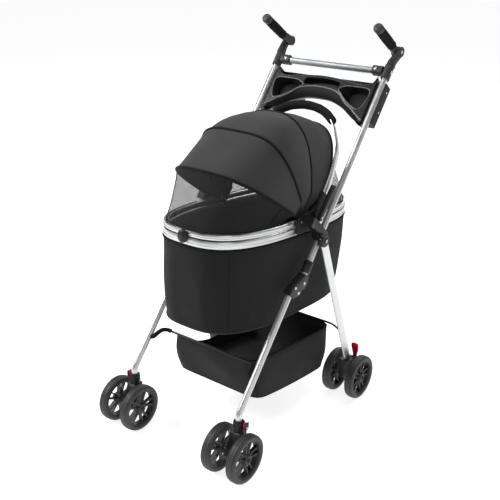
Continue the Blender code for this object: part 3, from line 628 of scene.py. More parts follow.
def castings():
    """Castings with rounded edges, and the screws, rivets and ribs on them."""
    for tag, sign in SIDES:
        for cad, width, mat in CASTINGS:
            moulded(f"{cad}_{tag}", width, mat)
        out = ACROSS * sign
        lathe("leg_knuckle_" + tag, KNUCKLE, place(sign * 0.1932, *LEG_HINGE), out, "black_plastic", "rear_legs")
        release, sleeve = f"carrier_release_{tag}_body", f"fold_sleeve_{tag}_body"
        screws = [("head_screw_" + tag, tube_point(sign * 0.1935, -0.0180), 0.0046, "upper_frame"),
                  ("leg_screw_" + tag, place(sign * 0.2082, *LEG_HINGE), 0.0052, "upper_frame"),
                  ("release_screw_" + tag, tube_point(sign * 0.1874, 0.4350, 0.0355), 0.0036, release),
                  ("lock_screw_" + tag, place(sign * (FRONT_TRACK + 0.0239), 0.0300, 0.1285), 0.0042, "front_legs")]
        for k, (down, q) in enumerate(((0.0, 0.0), (0.0240, 0.0310), (0.0300, 0.0090))):
            screws.append((f"fold_rivet_{tag}_{k}", tube_point(sign * 0.1922, FOLD_T + down, q), 0.0042, "front_legs"))
        for k, (y, z) in enumerate(((0.3200, 0.5750), (0.3870, 0.5720))):
            screws.append((f"bracket_screw_{tag}_{k}", place(sign * 0.1597, y, z), 0.0040, "carrier"))
        for name, centre, radius, body in screws:
            screw_head(name, centre, out, radius, body)
        for k in range(4):
            rib = [tube_point(sign * x, 0.3560 + 0.008 * k, 0.0398) for x in (0.1765, 0.1810, 0.1855)]
            sweep(f"release_rib_{tag}_{k}", rib, circle(0.0010, 10), TUBE_FRONT, "black_plastic", release)
            ring = [tube_point(sign * TUBE_X + u, 0.5520 + 0.007 * k, v) for u, v in oval(0.0113, 0.0141, 2, 28)]
            sweep(f"sleeve_rib_{tag}_{k}", ring, circle(0.0009, 8), TUBE_UP, "black_plastic", sleeve, cyclic=True)


def brakes():
    """Red pedals: a bent stem that widens into a rounded paddle."""
    def section(f):
        taper = smooth_step((f - 0.90) / 0.1)
        wide = lerp(0.0062, 0.0110, smooth_step((f - 0.35) / 0.4)) * (1 - 0.75 * taper)
        thick = lerp(0.0040, 0.0052, smooth_step(f * 1.4)) * (1 - 0.7 * taper)
        return oval(wide, thick, 3.0, 20)

    for tag, sign in SIDES:
        lever = "brake_lever_" + tag
        spine = curved([place(sign * REAR_TRACK, y, z) for y, z in
                        ((0.5300, 0.0905), (0.5375, 0.0985), (0.5395, 0.1150), (0.5370, 0.1330), (0.5350, 0.1465))])
        sweep(lever + "_paddle", spine, section, ACROSS, "red_plastic", lever + "_body", lever, sharp=60.0)


# ---------------------------------------------------------------- push handles

GRIP_RIBS = 20


def push_handles():
    """Bent arms on the tube heads, and ribbed foam grips that turn on them."""
    def arm_section(f):
        return oval(lerp(0.0100, 0.0076, smooth_step(1.4 * f)), lerp(0.0146, 0.0128, smooth_step(f)), 3.0, 28)

    for tag, sign in SIDES:
        arm = curved([tube_point(sign * 0.1830, -0.0374), tube_point(sign * 0.1832, -0.0480),
                      lerp(tube_point(sign * 0.1840, -0.0570), place(sign * 0.1884, 0.7290, 0.9440), 0.35),
                      place(sign * 0.1884, 0.7335, 0.9500)])
        sweep(f"grip_arm_{tag}_bent", arm, arm_section, ACROSS, "arm_plastic", "upper_frame", "grip_arm_" + tag,
              sharp=60.0)
        out = ACROSS * sign
        disc = [(0.0, 0.0), (0.0132, 0.0), (0.0142, 0.0010), (0.0142, 0.0122), (0.0130, 0.0135), (0.0080, 0.0135),
                (0.0074, 0.0126), (0.0, 0.0126)]
        lathe("arm_knuckle_" + tag, disc, place(sign * 0.1815, *ELBOW), out, "arm_plastic", "upper_frame")
        screw_head("arm_screw_" + tag, place(sign * 0.1941, *ELBOW), out, 0.0046, "upper_frame")
        grip_body = "hand_grip_" + tag + "_body"
        lathe("grip_knuckle_" + tag, disc, place(sign * 0.1811, *ELBOW), -out, "arm_plastic", grip_body)
        neck = curved([place(sign * 0.1750, 0.7370, 0.9555), place(sign * 0.1762, 0.7260, 0.9620),
                       place(sign * 0.1790, 0.7130, 0.9695), place(sign * 0.1800, 0.6990, 0.9785)])
        sweep("grip_neck_" + tag, neck, oval(0.0082, 0.0122, 2.6, 24), ACROSS, "arm_plastic", grip_body, sharp=60.0)
        start, end = place(sign * 0.1800, 0.7050, 0.9743), place(sign * 0.1800, 0.6180, 1.0320)
        length = (end - start).length
        profile = [(0.0, 0.0), (0.0110, 0.0), (0.0130, 0.0012), (0.0132, 0.0050), (0.0122, 0.0062)]
        step = (length - 0.0250) / GRIP_RIBS
        for k in range(GRIP_RIBS):
            palm = 0.0007 * math.sin(math.pi * k / GRIP_RIBS)
            profile += [(radius + palm, lerp(0.0070, length - 0.0180, k / GRIP_RIBS) + step * rise)
                        for radius, rise in ((0.0117, 0.0), (0.0128, 0.25), (0.0128, 0.70), (0.0117, 0.95))]
        profile += [(0.0120, length - 0.0165), (0.0, length - 0.0165)]
        lathe("hand_grip_" + tag + "_ribbed", profile, start, end - start, "foam", grip_body, 40, "hand_grip_" + tag,
              sharp=60.0)
        tip = [(radius, length - back) for radius, back in
               ((0.0, 0.0170), (0.0126, 0.0170), (0.0134, 0.0155), (0.0134, 0.0050), (0.0118, 0.0015), (0.0085, 0.0),
                (0.0, 0.0))]
        lathe("grip_tip_" + tag, tip, start, end - start, "grip_tip", grip_body, 40, sharp=50.0)


# ---------------------------------------------------------------- parent tray

# outlines in the tubes' plane: (x, distance down the tubes from their nominal top)
DECK_HALF = [(0.0, 0.0220), (0.0500, 0.0250), (0.0850, 0.0300), (0.1200, 0.0345), (0.1430, 0.0320),
             (0.1580, 0.0220), (0.1650, 0.0120), (0.1650, 0.1370), (0.1400, 0.1210), (0.1235, 0.1085),
             (0.1000, 0.0955), (0.0830, 0.0810), (0.0650, 0.0670), (0.0350, 0.0585), (0.0, 0.0560)]
APRON_TOP = DECK_HALF[:6:-1]
APRON_FOOT = [(0.0, 0.0850), (0.0370, 0.0870), (0.0620, 0.0940), (0.0810, 0.1015), (0.0980, 0.1105),
              (0.1150, 0.1215), (0.1350, 0.1330), (0.1655, 0.1395)]
COMPARTMENT_HALF = [(0.0, 0.0270), (0.0500, 0.0310), (0.0590, 0.0400), (0.0565, 0.0540), (0.0300, 0.0525),
                    (0.0, 0.0515)]
CUP_MOUTH = [(0.0600, 0.0545), (0.0800, 0.0425), (0.1180, 0.0405), (0.1480, 0.0420), (0.1580, 0.0540),
             (0.1540, 0.0850), (0.1430, 0.1060), (0.1240, 0.1030), (0.0960, 0.0870), (0.0740, 0.0690)]
CUP = (0.1130, 0.0730)
TRAY_Q = 0.0070


def flat_curve(points, closed, steps=4):
    return [(p.x, p.y) for p in curved([Vector((x, t, 0)) for x, t in points], closed, steps)]


def both_halves(half):
    """A closed, smoothed outline in the tubes' plane from half an outline."""
    return flat_curve(half + [(-x, t) for x, t in reversed(half[1:-1])], True)


def inset(outline, distance):
    """An outline moved inwards, by the normals of its own points."""
    out = []
    count = len(outline)
    area = sum(outline[i][0] * outline[(i + 1) % count][1] - outline[(i + 1) % count][0] * outline[i][1]
               for i in range(count))
    turn = 1 if area > 0 else -1
    for i, (x, t) in enumerate(outline):
        before, after = outline[i - 1], outline[(i + 1) % count]
        dx, dt = after[0] - before[0], after[1] - before[1]
        length = math.hypot(dx, dt) or 1.0
        out.append((x - turn * dt / length * distance, t + turn * dx / length * distance))
    return out


def tray_rows(levels):
    return [[tube_point(x, t, q) for x, t in outline] for outline, q in levels]


def tray_shell(name, rows, mat="well_black"):
    """A hollow of the tray: open at its first row and closed at its last."""
    loft(name, rows, mat, "upper_frame", sharp=50.0, cap_start=False)


def tray_bead(name, points, q, radius, closed, mat="gloss_black"):
    """A rounded rim that follows the tray's outline."""
    path = [tube_point(x, t, q) for x, t in points]
    cord(name, path, radius, TUBE_FRONT, mat, "upper_frame", cyclic=closed, count=12)


def cup_ring(outline, share, radius, grow=1.0):
    """The cup's mouth pulled towards its round lower part: share 0 is the mouth and 1 the circle."""
    cx, ct = CUP[0] * math.copysign(1, outline[0][0]), CUP[1]
    out = []
    for x, t in outline:
        angle = math.atan2(t - ct, x - cx)
        round_x, round_t = cx + radius * math.cos(angle), ct + 0.92 * radius * math.sin(angle)
        out.append((lerp(cx + (x - cx) * grow, round_x, share), lerp(ct + (t - ct) * grow, round_t, share)))
    return out


def tray_deck(mouths):
    """The pierced top plate."""
    data = bpy.data.curves.new("tray_top", "CURVE")
    data.dimensions = "2D"
    data.fill_mode = "BOTH"
    data.extrude = 0.0010
    data.bevel_depth = 0.0006
    data.bevel_resolution = 2
    for points in [inset(both_halves(DECK_HALF), 0.0010), both_halves(COMPARTMENT_HALF), *mouths]:
        spline = data.splines.new("POLY")
        spline.points.add(len(points) - 1)
        for knot, (x, t) in zip(spline.points, points):
            knot.co = (x, -t, 0.0, 1.0)
        spline.use_cyclic_u = True
    curve = linked("tray_top_curve", data)
    turn = Matrix((ACROSS, TUBE_UP, TUBE_FRONT)).transposed().to_4x4()
    turn.translation = tube_point(0, 0, TRAY_Q - 0.0018)
    curve.matrix_world = turn
    bpy.context.view_layer.update()
    mesh = bpy.data.meshes.new_from_object(curve.evaluated_get(bpy.context.evaluated_depsgraph_get()))
    mesh.transform(turn)
    bpy.data.objects.remove(curve, do_unlink=True)
    if "weave" not in mesh.uv_layers:
        mesh.uv_layers.new(name="weave")
    piece("tray_top", mesh, "gloss_black", "upper_frame", "parent_tray", 30.0)


def tray_clamp(tag, sign):
    """Block behind the handle tube that wraps its rear half."""
    corners = [(-0.0155, 0.0012), (-0.0155, -0.0290), (-0.0120, -0.0330), (0.0085, -0.0330), (0.0122, -0.0290),
               (0.0122, 0.0000), (0.0112, 0.0012)]
    hollow = [(0.0090 * math.cos(math.radians(a)), 0.0090 * math.sin(math.radians(a))) for a in range(8, -189, -14)]
    profile = [(u * sign, v) for u, v in corners + hollow]
    path = [tube_point(sign * TUBE_X, t) for t in (0.0165, 0.0180, 0.1350, 0.1365)]
    sweep("tray_clamp_" + tag, path, profile, ACROSS, "textured_black", "upper_frame", sharp=40.0)
    for k, t in enumerate((0.0350, 0.0950)):
        screw_head(f"clamp_screw_{tag}_{k}", tube_point(sign * 0.1932, t, -0.0170), ACROSS * sign, 0.0030,
                   "upper_frame")


def parent_tray():
    """Glossy moulding: a pierced deck with raised rims, an apron, a skirt, two cups and a middle well."""
    mouths = [flat_curve([(sign * x, t) for x, t in CUP_MOUTH], True) for _, sign in SIDES]
    tray_deck(mouths)
    crest, foot = flat_curve(full_width(APRON_TOP), False), flat_curve(full_width(APRON_FOOT), False)
    rows = []
    for k in range(9):
        f = k / 8
        q = TRAY_Q - 0.0115 * f ** 1.8
        rows.append([tube_point(lerp(a[0], b[0], f), lerp(a[1], b[1], f), q) for a, b in zip(crest, foot)])
    rows.append([tube_point(x, t - 0.0010, TRAY_Q - 0.0140) for x, t in foot])
    piece("tray_apron", grid_mesh("tray_apron", rows, False), "well_black", "upper_frame", sharp=60.0)
    # the crest bead is painted lighter grey: a painted highlight along the tray's top edge
    tray_bead("tray_crest", crest, TRAY_Q + 0.0004, 0.0022, False, "gloss_rim")
    outer = both_halves(DECK_HALF[:7] + APRON_FOOT[::-1])
    skirt = []
    for shrink, low in ((0.0006, 0.0), (0.0, 0.12), (0.0008, 0.45), (0.0020, 0.75), (0.0034, 0.94), (0.0060, 1.0)):
        row = []
        for x, t in inset(outer, shrink):
            top = TRAY_Q - 0.0010 if t < 0.045 or (abs(x) > 0.160 and t < 0.134) else TRAY_Q - 0.0125
            row.append(tube_point(x, t, lerp(top, -0.0218, low)))
        skirt.append(row)
    tray_shell("tray_skirt", skirt, "gloss_black")
    tray_bead("tray_upper_rim", flat_curve(full_width(DECK_HALF[:8]), False), TRAY_Q - 0.0004, 0.0017, False)
    well = both_halves(COMPARTMENT_HALF)
    tray_shell("tray_well", tray_rows([(inset(well, shrink), q) for shrink, q in (
        (-0.0008, TRAY_Q), (0.0010, TRAY_Q - 0.0020), (0.0022, -0.0120), (0.0040, -0.0175), (0.0070, -0.0186))]))
    tray_bead("tray_well_rim", well, TRAY_Q - 0.0004, 0.0014, True)
    for (tag, sign), mouth in zip(SIDES, mouths):
        cup = ((0.0, 0.0310, 1.01, TRAY_Q), (0.0, 0.0310, 0.97, TRAY_Q - 0.0020), (0.35, 0.0310, 0.94, -0.0080),
               (0.92, 0.0308, 1.0, -0.0185), (1.0, 0.0300, 1.0, -0.0250), (1.0, 0.0280, 1.0, -0.0640),
               (1.0, 0.0262, 1.0, -0.0705), (1.0, 0.0225, 1.0, -0.0722))
        tray_shell("cup_well_" + tag, tray_rows([(cup_ring(mouth, *level), q) for *level, q in cup]))
        # the cup rims are painted lighter grey: a painted highlight round each cup's mouth
        tray_bead("cup_rim_" + tag, mouth, TRAY_Q - 0.0004, 0.0015, True, "gloss_rim")
        jacket = ((0.0334, -0.0200), (0.0322, -0.0400), (0.0308, -0.0640), (0.0296, -0.0720), (0.0262, -0.0748))
        tray_shell("cup_shell_" + tag, tray_rows([(cup_ring(mouth, 1.0, radius), q) for radius, q in jacket]),
                   "gloss_black")
        tray_clamp(tag, sign)


# ---------------------------------------------------------------- carrier soft goods

def ripple(point, scale, amount, seed):
    """Smooth noise used to unsettle cloth."""
    return noise.noise(point * scale + Vector((seed, seed * 1.7, -seed))) * amount


def bag_ring(w, grow=0.0):
    """The bag at one height: a squared oval with soft vertical folds."""
    a, b = (half + grow for half in bag_size(w))
    depth = smooth_step((-0.024 - w) / 0.05) * smooth_step((w + 0.2495) / 0.03)
    row = []
    for k in range(BAG_POINTS):
        angle = 2 * math.pi * k / BAG_POINTS
        c, s = power_curve(angle, RING_POWER)
        fold = ripple(Vector((math.cos(angle) * 2.2, math.sin(angle) * 2.2, w * 2.5)), 1.6, 0.0042, 3.0)
        fine = ripple(Vector((math.cos(angle) * 6.0, math.sin(angle) * 6.0, w * 9.0)), 1.5, 0.0012, 7.0)
        outward = Vector((c / a, s / b, 0)).normalized() * ((fold + fine) * depth)
        row.append(ring_point(a * c + outward.x, b * s + outward.y, w))
    return row


BAG_LEVELS = [(-0.0200, 0.1500, 0.3080), (-0.0240, 0.1506, 0.3086), (-0.0600, 0.1508, 0.3065),
              (-0.1000, 0.1510, 0.3050), (-0.1500, 0.1505, 0.3014), (-0.1900, 0.1500, 0.2980),
              (-0.2250, 0.1488, 0.2925), (-0.2400, 0.1480, 0.2900), (-0.2460, 0.1440, 0.2850),
              (-0.2495, 0.1390, 0.2770)]
BAG_POINTS = 144
BAG_SEAMS = (52, 128, 232, 308)


def bag_size(w):
    """Half width and half length of the bag at a height in the carrier's frame."""
    for (w0, a0, b0), (w1, a1, b1) in zip(BAG_LEVELS, BAG_LEVELS[1:]):
        if w >= w1:
            f = (w - w0) / (w1 - w0)
            return lerp(a0, a1, f), lerp(b0, b1, f)
    return BAG_LEVELS[-1][1:]


def thickened(obj, thick, offset=-1.0):
    solid = obj.modifiers.new("cloth_thickness", "SOLIDIFY")
    solid.thickness = thick
    solid.offset = offset
    return obj


def bag():
    heights = [lerp(-0.0200, -0.2400, k / 26) for k in range(27)] + [-0.2440, -0.2472, -0.2495]
    rows = [bag_ring(w) for w in heights]
    centre = ring_point(0, 0, -0.2505)
    for f in (0.85, 0.6, 0.3):
        rows.append([centre.lerp(p, f) for p in rows[29]])
    thickened(loft("bag_tub", rows, "bag_cloth", "carrier", "bag", 70.0, cap_start=False), 0.0020)
    # the bottom piping is painted lighter grey: a painted reflection along the bag's lower edge
    for name, w, grow, radius, mat in (("bag_bottom_piping", -0.2425, 0.0012, 0.0020, "trim"),
                                       ("bag_top_piping", -0.0225, 0.0010, 0.0022, "piping")):
        cord(name, bag_ring(w, grow), radius, RING_UP, mat, "carrier", cyclic=True, count=10)
    rings = [bag_ring(lerp(-0.0240, -0.2420, i / 20), 0.0006) for i in range(21)]
    for k, angle in enumerate(BAG_SEAMS):
        path = [ring[round(angle / 360 * BAG_POINTS)] for ring in rings]
        cord(f"bag_seam_{k}", path, 0.0008, ACROSS, "bag_cloth", "carrier")


PAD_VOXEL = 0.006
PAD_SWELL = 0.006
QUILT_PITCH = (0.070, 0.080)


def floor_pad():
    """Stuffed floor cushion: swollen by a cloth simulation and quilted afterwards."""
    rows = []
    for grow, w in ((0.0, -0.2465), (0.0060, -0.2430), (0.0060, -0.2370), (0.0, -0.2335)):
        rows.append([ring_point(x, v, w) for x, v in oval(0.1180 + grow, 0.2480 + grow, RING_POWER, 64)])
    pad = loft("floor_cushion", rows, "pad_cloth", None, "floor_pad", 80.0)
    remesh = pad.modifiers.new("remesh", "REMESH")
    remesh.mode = "VOXEL"
    remesh.voxel_size = PAD_VOXEL
    bake(pad)
    swell(pad, PAD_SWELL)
    add_quilting(pad)
    box_map(pad)
    pad.data.shade_smooth()
    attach(pad, "carrier")


def bake(obj):
    """Apply every modifier, keeping the result as the object's mesh."""
    bpy.context.view_layer.update()
    mesh = bpy.data.meshes.new_from_object(obj.evaluated_get(bpy.context.evaluated_depsgraph_get()))
    mats = list(obj.data.materials)
    obj.modifiers.clear()
    obj.data = mesh
    mesh.materials.clear()
    for mat in mats:
        mesh.materials.append(mat)


def swell(obj, cap):
    """Inflate a closed mesh with Blender's cloth, moving no point further than cap."""
    rest = [v.co.copy() for v in obj.data.vertices]
    cloth = obj.modifiers.new("swell", "CLOTH")
    cloth.settings.use_pressure = True
    cloth.settings.uniform_pressure_force = 4.0
    cloth.settings.effector_weights.gravity = 0.0
    cloth.point_cache.frame_end = 20
    for number in range(1, 21):
        bpy.context.scene.frame_set(number)
    bake(obj)
    bpy.context.scene.frame_set(1)
    for vertex, start in zip(obj.data.vertices, rest):
        move = vertex.co - start
        if move.length > cap:
            vertex.co = start + move.normalized() * cap


def add_quilting(obj):
    """Press a grid of stitched channels into the top of the cushion."""
    def to_stitch(value, pitch):
        return abs(value / pitch - round(value / pitch)) * pitch

    for vertex in obj.data.vertices:
        top = (vertex.co - ring_point(0, 0, -0.2400)).dot(RING_UP)
        if top > 0.001:
            y = vertex.co.y - FRONT_AXLE_Y - RING_CENTRE[0]
            near = min(to_stitch(vertex.co.x, QUILT_PITCH[0]), to_stitch(y, QUILT_PITCH[1]))
            vertex.co -= RING_UP * 0.0022 * math.exp(-(near / 0.006) ** 2)


def box_map(obj):
    """Cloth coordinates in metres from the plan view."""
    mesh = obj.data
    layer = mesh.uv_layers.get("weave") or mesh.uv_layers.new(name="weave")
    for loop in mesh.loops:
        co = mesh.vertices[loop.vertex_index].co
        layer.data[loop.index].uv = (co.x, co.y)


# ---------------------------------------------------------------- hood

def bow_shape(i):
    """Angle, reach and squareness of a bow."""
    y, z, power = BOW_TOPS[i]
    dy, dz = y - HOOD_PIVOT[0], z - HOOD_PIVOT[1]
    return math.atan2(dz, dy), math.hypot(dy, dz), power


def bow_point(phi, reach, power, foot_inset, s):
    """Point on a bow: s runs 0 to 1 from one pivot over the top to the other."""
    c, sn = math.cos(math.pi * s), max(math.sin(math.pi * s), 0.0)
    rho = reach * sn ** (2 / power)
    x = math.copysign(HOOD_HALF_W * abs(c) ** (2 / power), c)
    near = min(1.0, max(0.0, (0.078 - rho) / 0.030))
    x -= math.copysign(foot_inset * near, x)
    return place(x, HOOD_PIVOT[0] + rho * math.cos(phi), HOOD_PIVOT[1] + rho * math.sin(phi))


def spaced(count):
    """Values from 0 to 1, closer at the ends."""
    return [0.5 - 0.5 * math.cos(math.pi * k / (count - 1)) for k in range(count)]


def hem_start(phi, reach, power, y):
    """Where along a bow the cloth begins, just above the upper rail."""
    rail_top = ring_point(0.0, y - RING_CENTRE[0], 0.0192).z
    low = (rail_top + 0.0035 - HOOD_PIVOT[1]) / math.sin(phi)
    return math.asin(min(1.0, (low / reach) ** (power / 2))) / math.pi


def bows():
    """Each wire bow runs in a sleeve of piping."""
    for i in BOW_TOPS:
        phi, reach, power = bow_shape(i)
        foot = 0.0158 + 0.0056 * (4 - i)
        path = [bow_point(phi, reach, power, foot, 0.0008 + s * 0.9984) for s in spaced(61)]
        normal = Vector((0.0, -math.sin(phi), math.cos(phi)))
        body = "carrier" if i == 4 else f"bow_{i}_body"
        cord(f"bow_{i}_sleeve", path, 0.0039, normal, "piping", body, f"bow_{i}", count=12)


def panel(name, i, j, cad, bulge):
    """A lined hood panel between two bows, which bulges outwards by its share of the gap."""
    phi_a, phi_b = bow_shape(i)[0], bow_shape(j)[0]
    rows = [[] for _ in range(17)]
    for s in spaced(81):
        ends = []
        for phi, reach, power in (bow_shape(i), bow_shape(j)):
            start = hem_start(phi, reach, power, HOOD_PIVOT[0])
            ends.append(bow_point(phi, reach, power, CLOTH_INSET, start + (1 - 2 * start) * s))
        chord = ends[1] - ends[0]
        inward = (place(0.0, *HOOD_PIVOT) - ends[0].lerp(ends[1], 0.5)).normalized()
        for r, row in enumerate(rows):
            f = r / 16
            here = ends[0] + chord * f
            crease = ripple(here, 14.0, 0.0022, i * 3.0) + ripple(here, 45.0, 0.0006, i * 5.0)
            row.append(here + inward * ((crease - bulge * chord.length) * math.sin(math.pi * f)))
    obj = piece(name, grid_mesh(name, rows, False), "hood_cloth", None, cad, 80.0)
    thickened(obj, 0.0012, 0.0)
    bake(obj)
    obj.data.shade_smooth()
    hinge = place(0.0, *HOOD_PIVOT)
    phis = (lerp(phi_a, phi_b, 0.08), lerp(phi_a, phi_b, 0.92))
    ends = [hinge + Vector((0.0, math.cos(p), math.sin(p))) * 0.25 for p in phis]
    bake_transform(obj)
    area = sum(face.area for face in grid_mesh("area", rows, False).polygons)


NET_SEAMS = (("r", 14), ("l", 53))


def window(name, i, ahead, body, cad):
    """Net from a bow down to one half of the upper rail; the front one rides on its bow."""
    phi, reach, power = bow_shape(i)
    start = hem_start(phi, reach, power, HOOD_PIVOT[0] + ahead * 0.05)
    rows = []
    for f in (r / 14 for r in range(15)):
        row = []
        for s in spaced(81):
            upper = bow_point(phi, reach, power, CLOTH_INSET, start + (1 - 2 * start) * s)
            c, sn = power_curve(math.pi * (0.06 + 0.88 * s), RING_POWER)
            lower = ring_point(RING_A * c, ahead * RING_B * sn, 0.0200)
            here = upper.lerp(lower, f)
            out = (here - ring_point(0.0, 0.0, 0.08)).normalized()
            slack = -0.0050 * math.sin(math.pi * f) + ripple(here, 16.0, 0.0040, 7.0 + i) * math.sin(math.pi * f)
            row.append(here + out * slack)
        rows.append(row)
    obj = piece(name, grid_mesh(name, rows, False), "net", None, cad, 80.0)
    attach(obj, body)
    hem = cord(name + "_hem", rows[-1], 0.0016, RING_UP, "piping", body)
    if ahead < 0:
        seams = [cord(f"{name}_seam_{tag}", [row[column] for row in rows], 0.0013, ACROSS, "piping", body)
                 for tag, column in NET_SEAMS]
        for soft in [obj, hem, *seams]:
            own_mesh(soft)


def hood():
    bows()
    panel("hood_front_cloth", 1, 2, "hood_front", 0.0)
    panel("hood_middle_cloth", 2, 3, "hood_middle", 0.080)
    panel("hood_back_cloth", 3, 4, "hood_back", 0.034)
    window("front_net", 1, -1, "bow_1_body", "front_window")
    window("rear_net", 4, 1, "carrier", "rear_window")


# ---------------------------------------------------------------- carry handle, latch, basket

def carry_handle():
    half = [(0.0, 0.3000), (0.0550, 0.2900), (0.1000, 0.2620), (0.1480, 0.1850), (0.1590, 0.1100), (0.1618, 0.0)]
    foot = place(0.0, *CARRY_FOOT)
    points = [foot + ACROSS * x + TUBE_UP * r for x, r in full_width(half)]
    sweep("carry_strap", rounded(points, 0.040), rounded_box(0.0125, 0.0015, 0.0012, 3), TUBE_FRONT, "steel",
          "carry_handle_body", "carry_handle", sharp=60.0)

    def foam_section(f):
        radius = 0.0130 * (0.72 + 0.28 * smooth_step(min(f, 1 - f) / 0.05)) * (1 + 0.02 * math.sin(f * 40))
        return oval(radius * 1.05, radius * 0.92, 2, 24)

    sweep("carry_foam", curved(points[3:8], False, 8), foam_section, TUBE_FRONT, "foam", "carry_handle_body",
          sharp=80.0)
    for tag, sign in SIDES:
        out = ACROSS * sign
        boss = [(0.0, 0.0), (0.0142, 0.0), (0.0150, 0.0008), (0.0150, 0.0074), (0.0138, 0.0086), (0.0, 0.0086)]
        lathe("carry_boss_" + tag, boss, place(sign * 0.1602, *CARRY_FOOT), out, "black_plastic", "carry_handle_body")
        screw_head("carry_screw_" + tag, place(sign * 0.1687, *CARRY_FOOT), out, 0.0046, "carry_handle_body")
        socket = [foot + ACROSS * (sign * x) + TUBE_UP * r for x, r in
                  ((0.1612, 0.0080), (0.1600, 0.0300), (0.1594, 0.0520), (0.1592, 0.0600))]
        sweep("carry_socket_" + tag, socket, rounded_box(0.0145, 0.0040, 0.0030), TUBE_FRONT, "black_plastic",
              "carry_handle_body", sharp=50.0)


def front_latch():
    centre, tip = ring_point(0.0, -0.3103, 0.0030), ring_point(0.0, -0.3215, 0.0030)
    knob = [(0.0, 0.0), (0.0130, 0.0), (0.0142, 0.0012), (0.0142, 0.0060), (0.0130, 0.0080), (0.0110, 0.0100),
            (0.0076, 0.0111), (0.0, 0.0111)]
    lathe("front_latch_knob", knob, centre, tip - centre, "black_plastic", "front_latch_body", 40, "front_latch",
          squash=1.20, side=ACROSS, sharp=50.0)
    bar = [tip.lerp(centre, -0.05) + ACROSS * x for x in (-0.0080, 0.0, 0.0080)]
    sweep("front_latch_thumb", bar, rounded_box(0.0014, 0.0020, 0.0010), RING_UP, "black_plastic", "front_latch_body")
    screw_head("front_latch_screw", tip.lerp(centre, 0.05), tip - centre, 0.0024, "front_latch_body")


def basket_wires():
    front = [(0.1410, 0.1365, 0.2400), (0.1580, 0.1230, 0.2460), (0.1630, 0.0900, 0.2330), (0.1716, 0.0900, 0.2330)]
    rear = [(0.1540, 0.5045, 0.2030), (0.1880, 0.4800, 0.2080), (0.2005, 0.4690, 0.2110)]
    for cad, half, body in (("front_wire", front, "front_legs"), ("rear_wire", rear, "rear_legs")):
        points = [place(-x, y, z) for x, y, z in reversed(half)] + [place(x, y, z) for x, y, z in half]
        cord(cad + "_bent", rounded(points, 0.020), 0.0031, UP, "black_wire", body, cad, count=14)
    for tag, sign in SIDES:
        strap = curved([place(sign * x, y, z) for x, y, z in
                        ((0.1712, 0.0900, 0.2330), (0.1660, 0.0915, 0.2350), (0.1625, 0.1010, 0.2410),
                         (0.1580, 0.1180, 0.2460), (0.1500, 0.1310, 0.2440), (0.1405, 0.1370, 0.2395))])
        sweep("basket_strap_" + tag, strap, rounded_box(0.0046, 0.0056, 0.0030), UP, "piping", "front_legs",
              sharp=80.0)


BASKET_FLOOR = ((0.1420, 0.1580, 0.1200), (0.1480, 0.3200, 0.0960), (0.1520, 0.4750, 0.0820))
BASKET_RIM = ((0.1380, 0.1400, 0.2370), (0.1470, 0.3200, 0.2180), (0.1500, 0.5010, 0.1990))
LEFT_SAG = 0.0850


def basket_ring(level):
    """A level of the basket, 0 at the floor and 1 at the rim; the rim hangs low on the left."""
    count = 16
    sides = []
    for sign, order in ((1, (0, 1, 2)), (-1, (2, 1, 0))):
        ends = []
        for k in order:
            x, y, z = (lerp(low, high, level) for low, high in zip(BASKET_FLOOR[k], BASKET_RIM[k]))
            ends.append(place(sign * x, y, z - (LEFT_SAG * level if sign < 0 and k == 1 else 0.0)))
        a, b, c = ends
        sides.append([a * (1 - f) * (1 - 2 * f) + b * 4 * f * (1 - f) + c * f * (2 * f - 1)
                      for f in (k / count for k in range(count + 1))])
    right, left = sides
    loop = right + [right[-1].lerp(left[0], k / count) for k in range(1, count)]
    loop += left + [left[-1].lerp(right[0], k / count) for k in range(1, count)]
    for _ in range(3):
        loop = [(loop[k - 1] + loop[k] * 2 + loop[(k + 1) % len(loop)]) / 4 for k in range(len(loop))]
    return loop


def under_basket():
    """Sewn bin hung from the two wires: sides that belly out, a floor that sags and a bound rim."""
    centre = place(0.0, 0.3200, 0.0950)
    rows = []
    for k in range(15):
        level = 1 - k / 14
        row = []
        for p in basket_ring(level):
            out = Vector((p.x - centre.x, (p.y - centre.y) * 0.7, 0)).normalized()
            belly = 0.0050 * math.sin(math.pi * level) + ripple(p, 12.0, 0.0050, 2.0) * math.sin(math.pi * level)
            row.append(p + out * belly)
        rows.append(row)
    base = rows[-1]
    for f in (0.94, 0.8, 0.6, 0.35):
        rows.append([centre.lerp(p, f) + UP * (ripple(p, 10.0, 0.0015, 5.0) - 0.0035 * (1 - f)) for p in base])
    obj = loft("basket_bin", rows, "basket_cloth", "front_legs", "under_basket", 80.0, cap_start=False)
    thickened(obj, 0.0016)
    bake(obj)
    obj.data.shade_smooth()
    soft = [obj, cord("basket_rim", [p + UP * 0.0005 for p in rows[0]], 0.0030, UP, "piping", "front_legs",
                      cyclic=True, count=10),
            cord("basket_base_seam", rows[14], 0.0014, UP, "piping", "front_legs", cyclic=True)]
    for k, index in enumerate((0, 16, 32, 48)):
        seam = [row[index] for row in rows[:15]]
        soft.append(cord(f"basket_seam_{k}", seam, 0.0013, ACROSS, "piping", "front_legs"))
    for cloth in soft:
        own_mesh(cloth)


# ---------------------------------------------------------------- stage

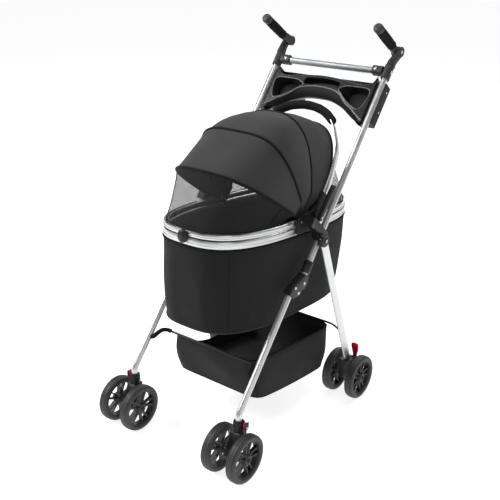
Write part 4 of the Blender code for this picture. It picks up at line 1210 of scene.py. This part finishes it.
def studio():
    floor = bpy.data.meshes.new("floor")
    bm = bmesh.new()
    bmesh.ops.create_grid(bm, x_segments=1, y_segments=1, size=12.0)
    bm.to_mesh(floor)
    bm.free()
    floor_obj = linked("floor", floor)
    floor_obj.location.z = -0.0002
    mat, tree, shader = blank("pale_floor")
    feed(tree, shader, {"Base Color": (0.62, 0.62, 0.62, 1), "Roughness": 0.9, "Specular IOR Level": 0.0,
                        "Emission Color": (1, 1, 1, 1), "Emission Strength": 0.80})
    floor.materials.append(mat)
    world = bpy.data.worlds.new("studio")
    bpy.context.scene.world = world
    world.use_nodes = True
    light_world(world.node_tree)
    for name, location, size, power in (("key", (-2.2, -1.6, 2.6), 1.4, 95.0), ("fill", (2.6, -1.6, 1.4), 1.4, 10.0),
                                        ("top", (0.2, 0.6, 3.2), 2.0, 42.0), ("back", (-1.4, 2.6, 1.8), 1.2, 22.0)):
        data = bpy.data.lights.new(name, "AREA")
        data.size = size
        data.energy = power
        lamp = linked(name, data)
        lamp.location = location
        lamp.rotation_euler = (Vector((0, 0, 0.5)) - Vector(location)).to_track_quat("-Z", "Y").to_euler()


def light_world(tree):
    """White behind the object; for lighting, a dimmer sky with soft upright bands as in a photo studio."""
    towards = node(tree, "SeparateXYZ", {0: node(tree, "TexCoord").outputs["Generated"]})
    azimuth = maths(tree, "ARCTAN2", towards.outputs[1], towards.outputs[0])
    wave = maths(tree, "SINE", maths(tree, "MULTIPLY", azimuth, 4.0))
    glow = spread(tree, wave, 0.06, 0.52, -0.6, 0.9)
    seen = node(tree, "LightPath").outputs["Is Camera Ray"]
    strength = node(tree, "Mix", {"Factor": seen, "A": glow, "B": 1.0}, data_type="FLOAT").outputs[0]
    feed(tree, tree.nodes["Background"], {"Color": (1, 1, 1, 1), "Strength": strength})


def camera():
    """A view from the front and above, off to the +X side."""
    azimuth, elevation, distance = math.radians(37.512), math.radians(22.822), 2.09664
    back = Vector((math.sin(azimuth) * math.cos(elevation), -math.cos(azimuth) * math.cos(elevation),
                   math.sin(elevation)))
    right = Vector((math.cos(azimuth), math.sin(azimuth), 0))
    up = back.cross(right)
    data = bpy.data.cameras.new("camera")
    data.lens = 56.584
    data.sensor_width = 36.0
    view = linked("camera", data)
    turn = Matrix((right, up, back)).transposed().to_4x4()
    turn.translation = place(0.0, 0.28, 0.5) + back * distance + right * 0.01828 - up * 0.02609
    view.matrix_world = turn
    bpy.context.scene.camera = view


bpy.context.scene.view_settings.view_transform = "Standard"
camera()
studio()
wheels()
frame_tubes()
rails()
castings()
brakes()
push_handles()
parent_tray()
bag()
floor_pad()
hood()
carry_handle()
front_latch()
basket_wires()
under_basket()
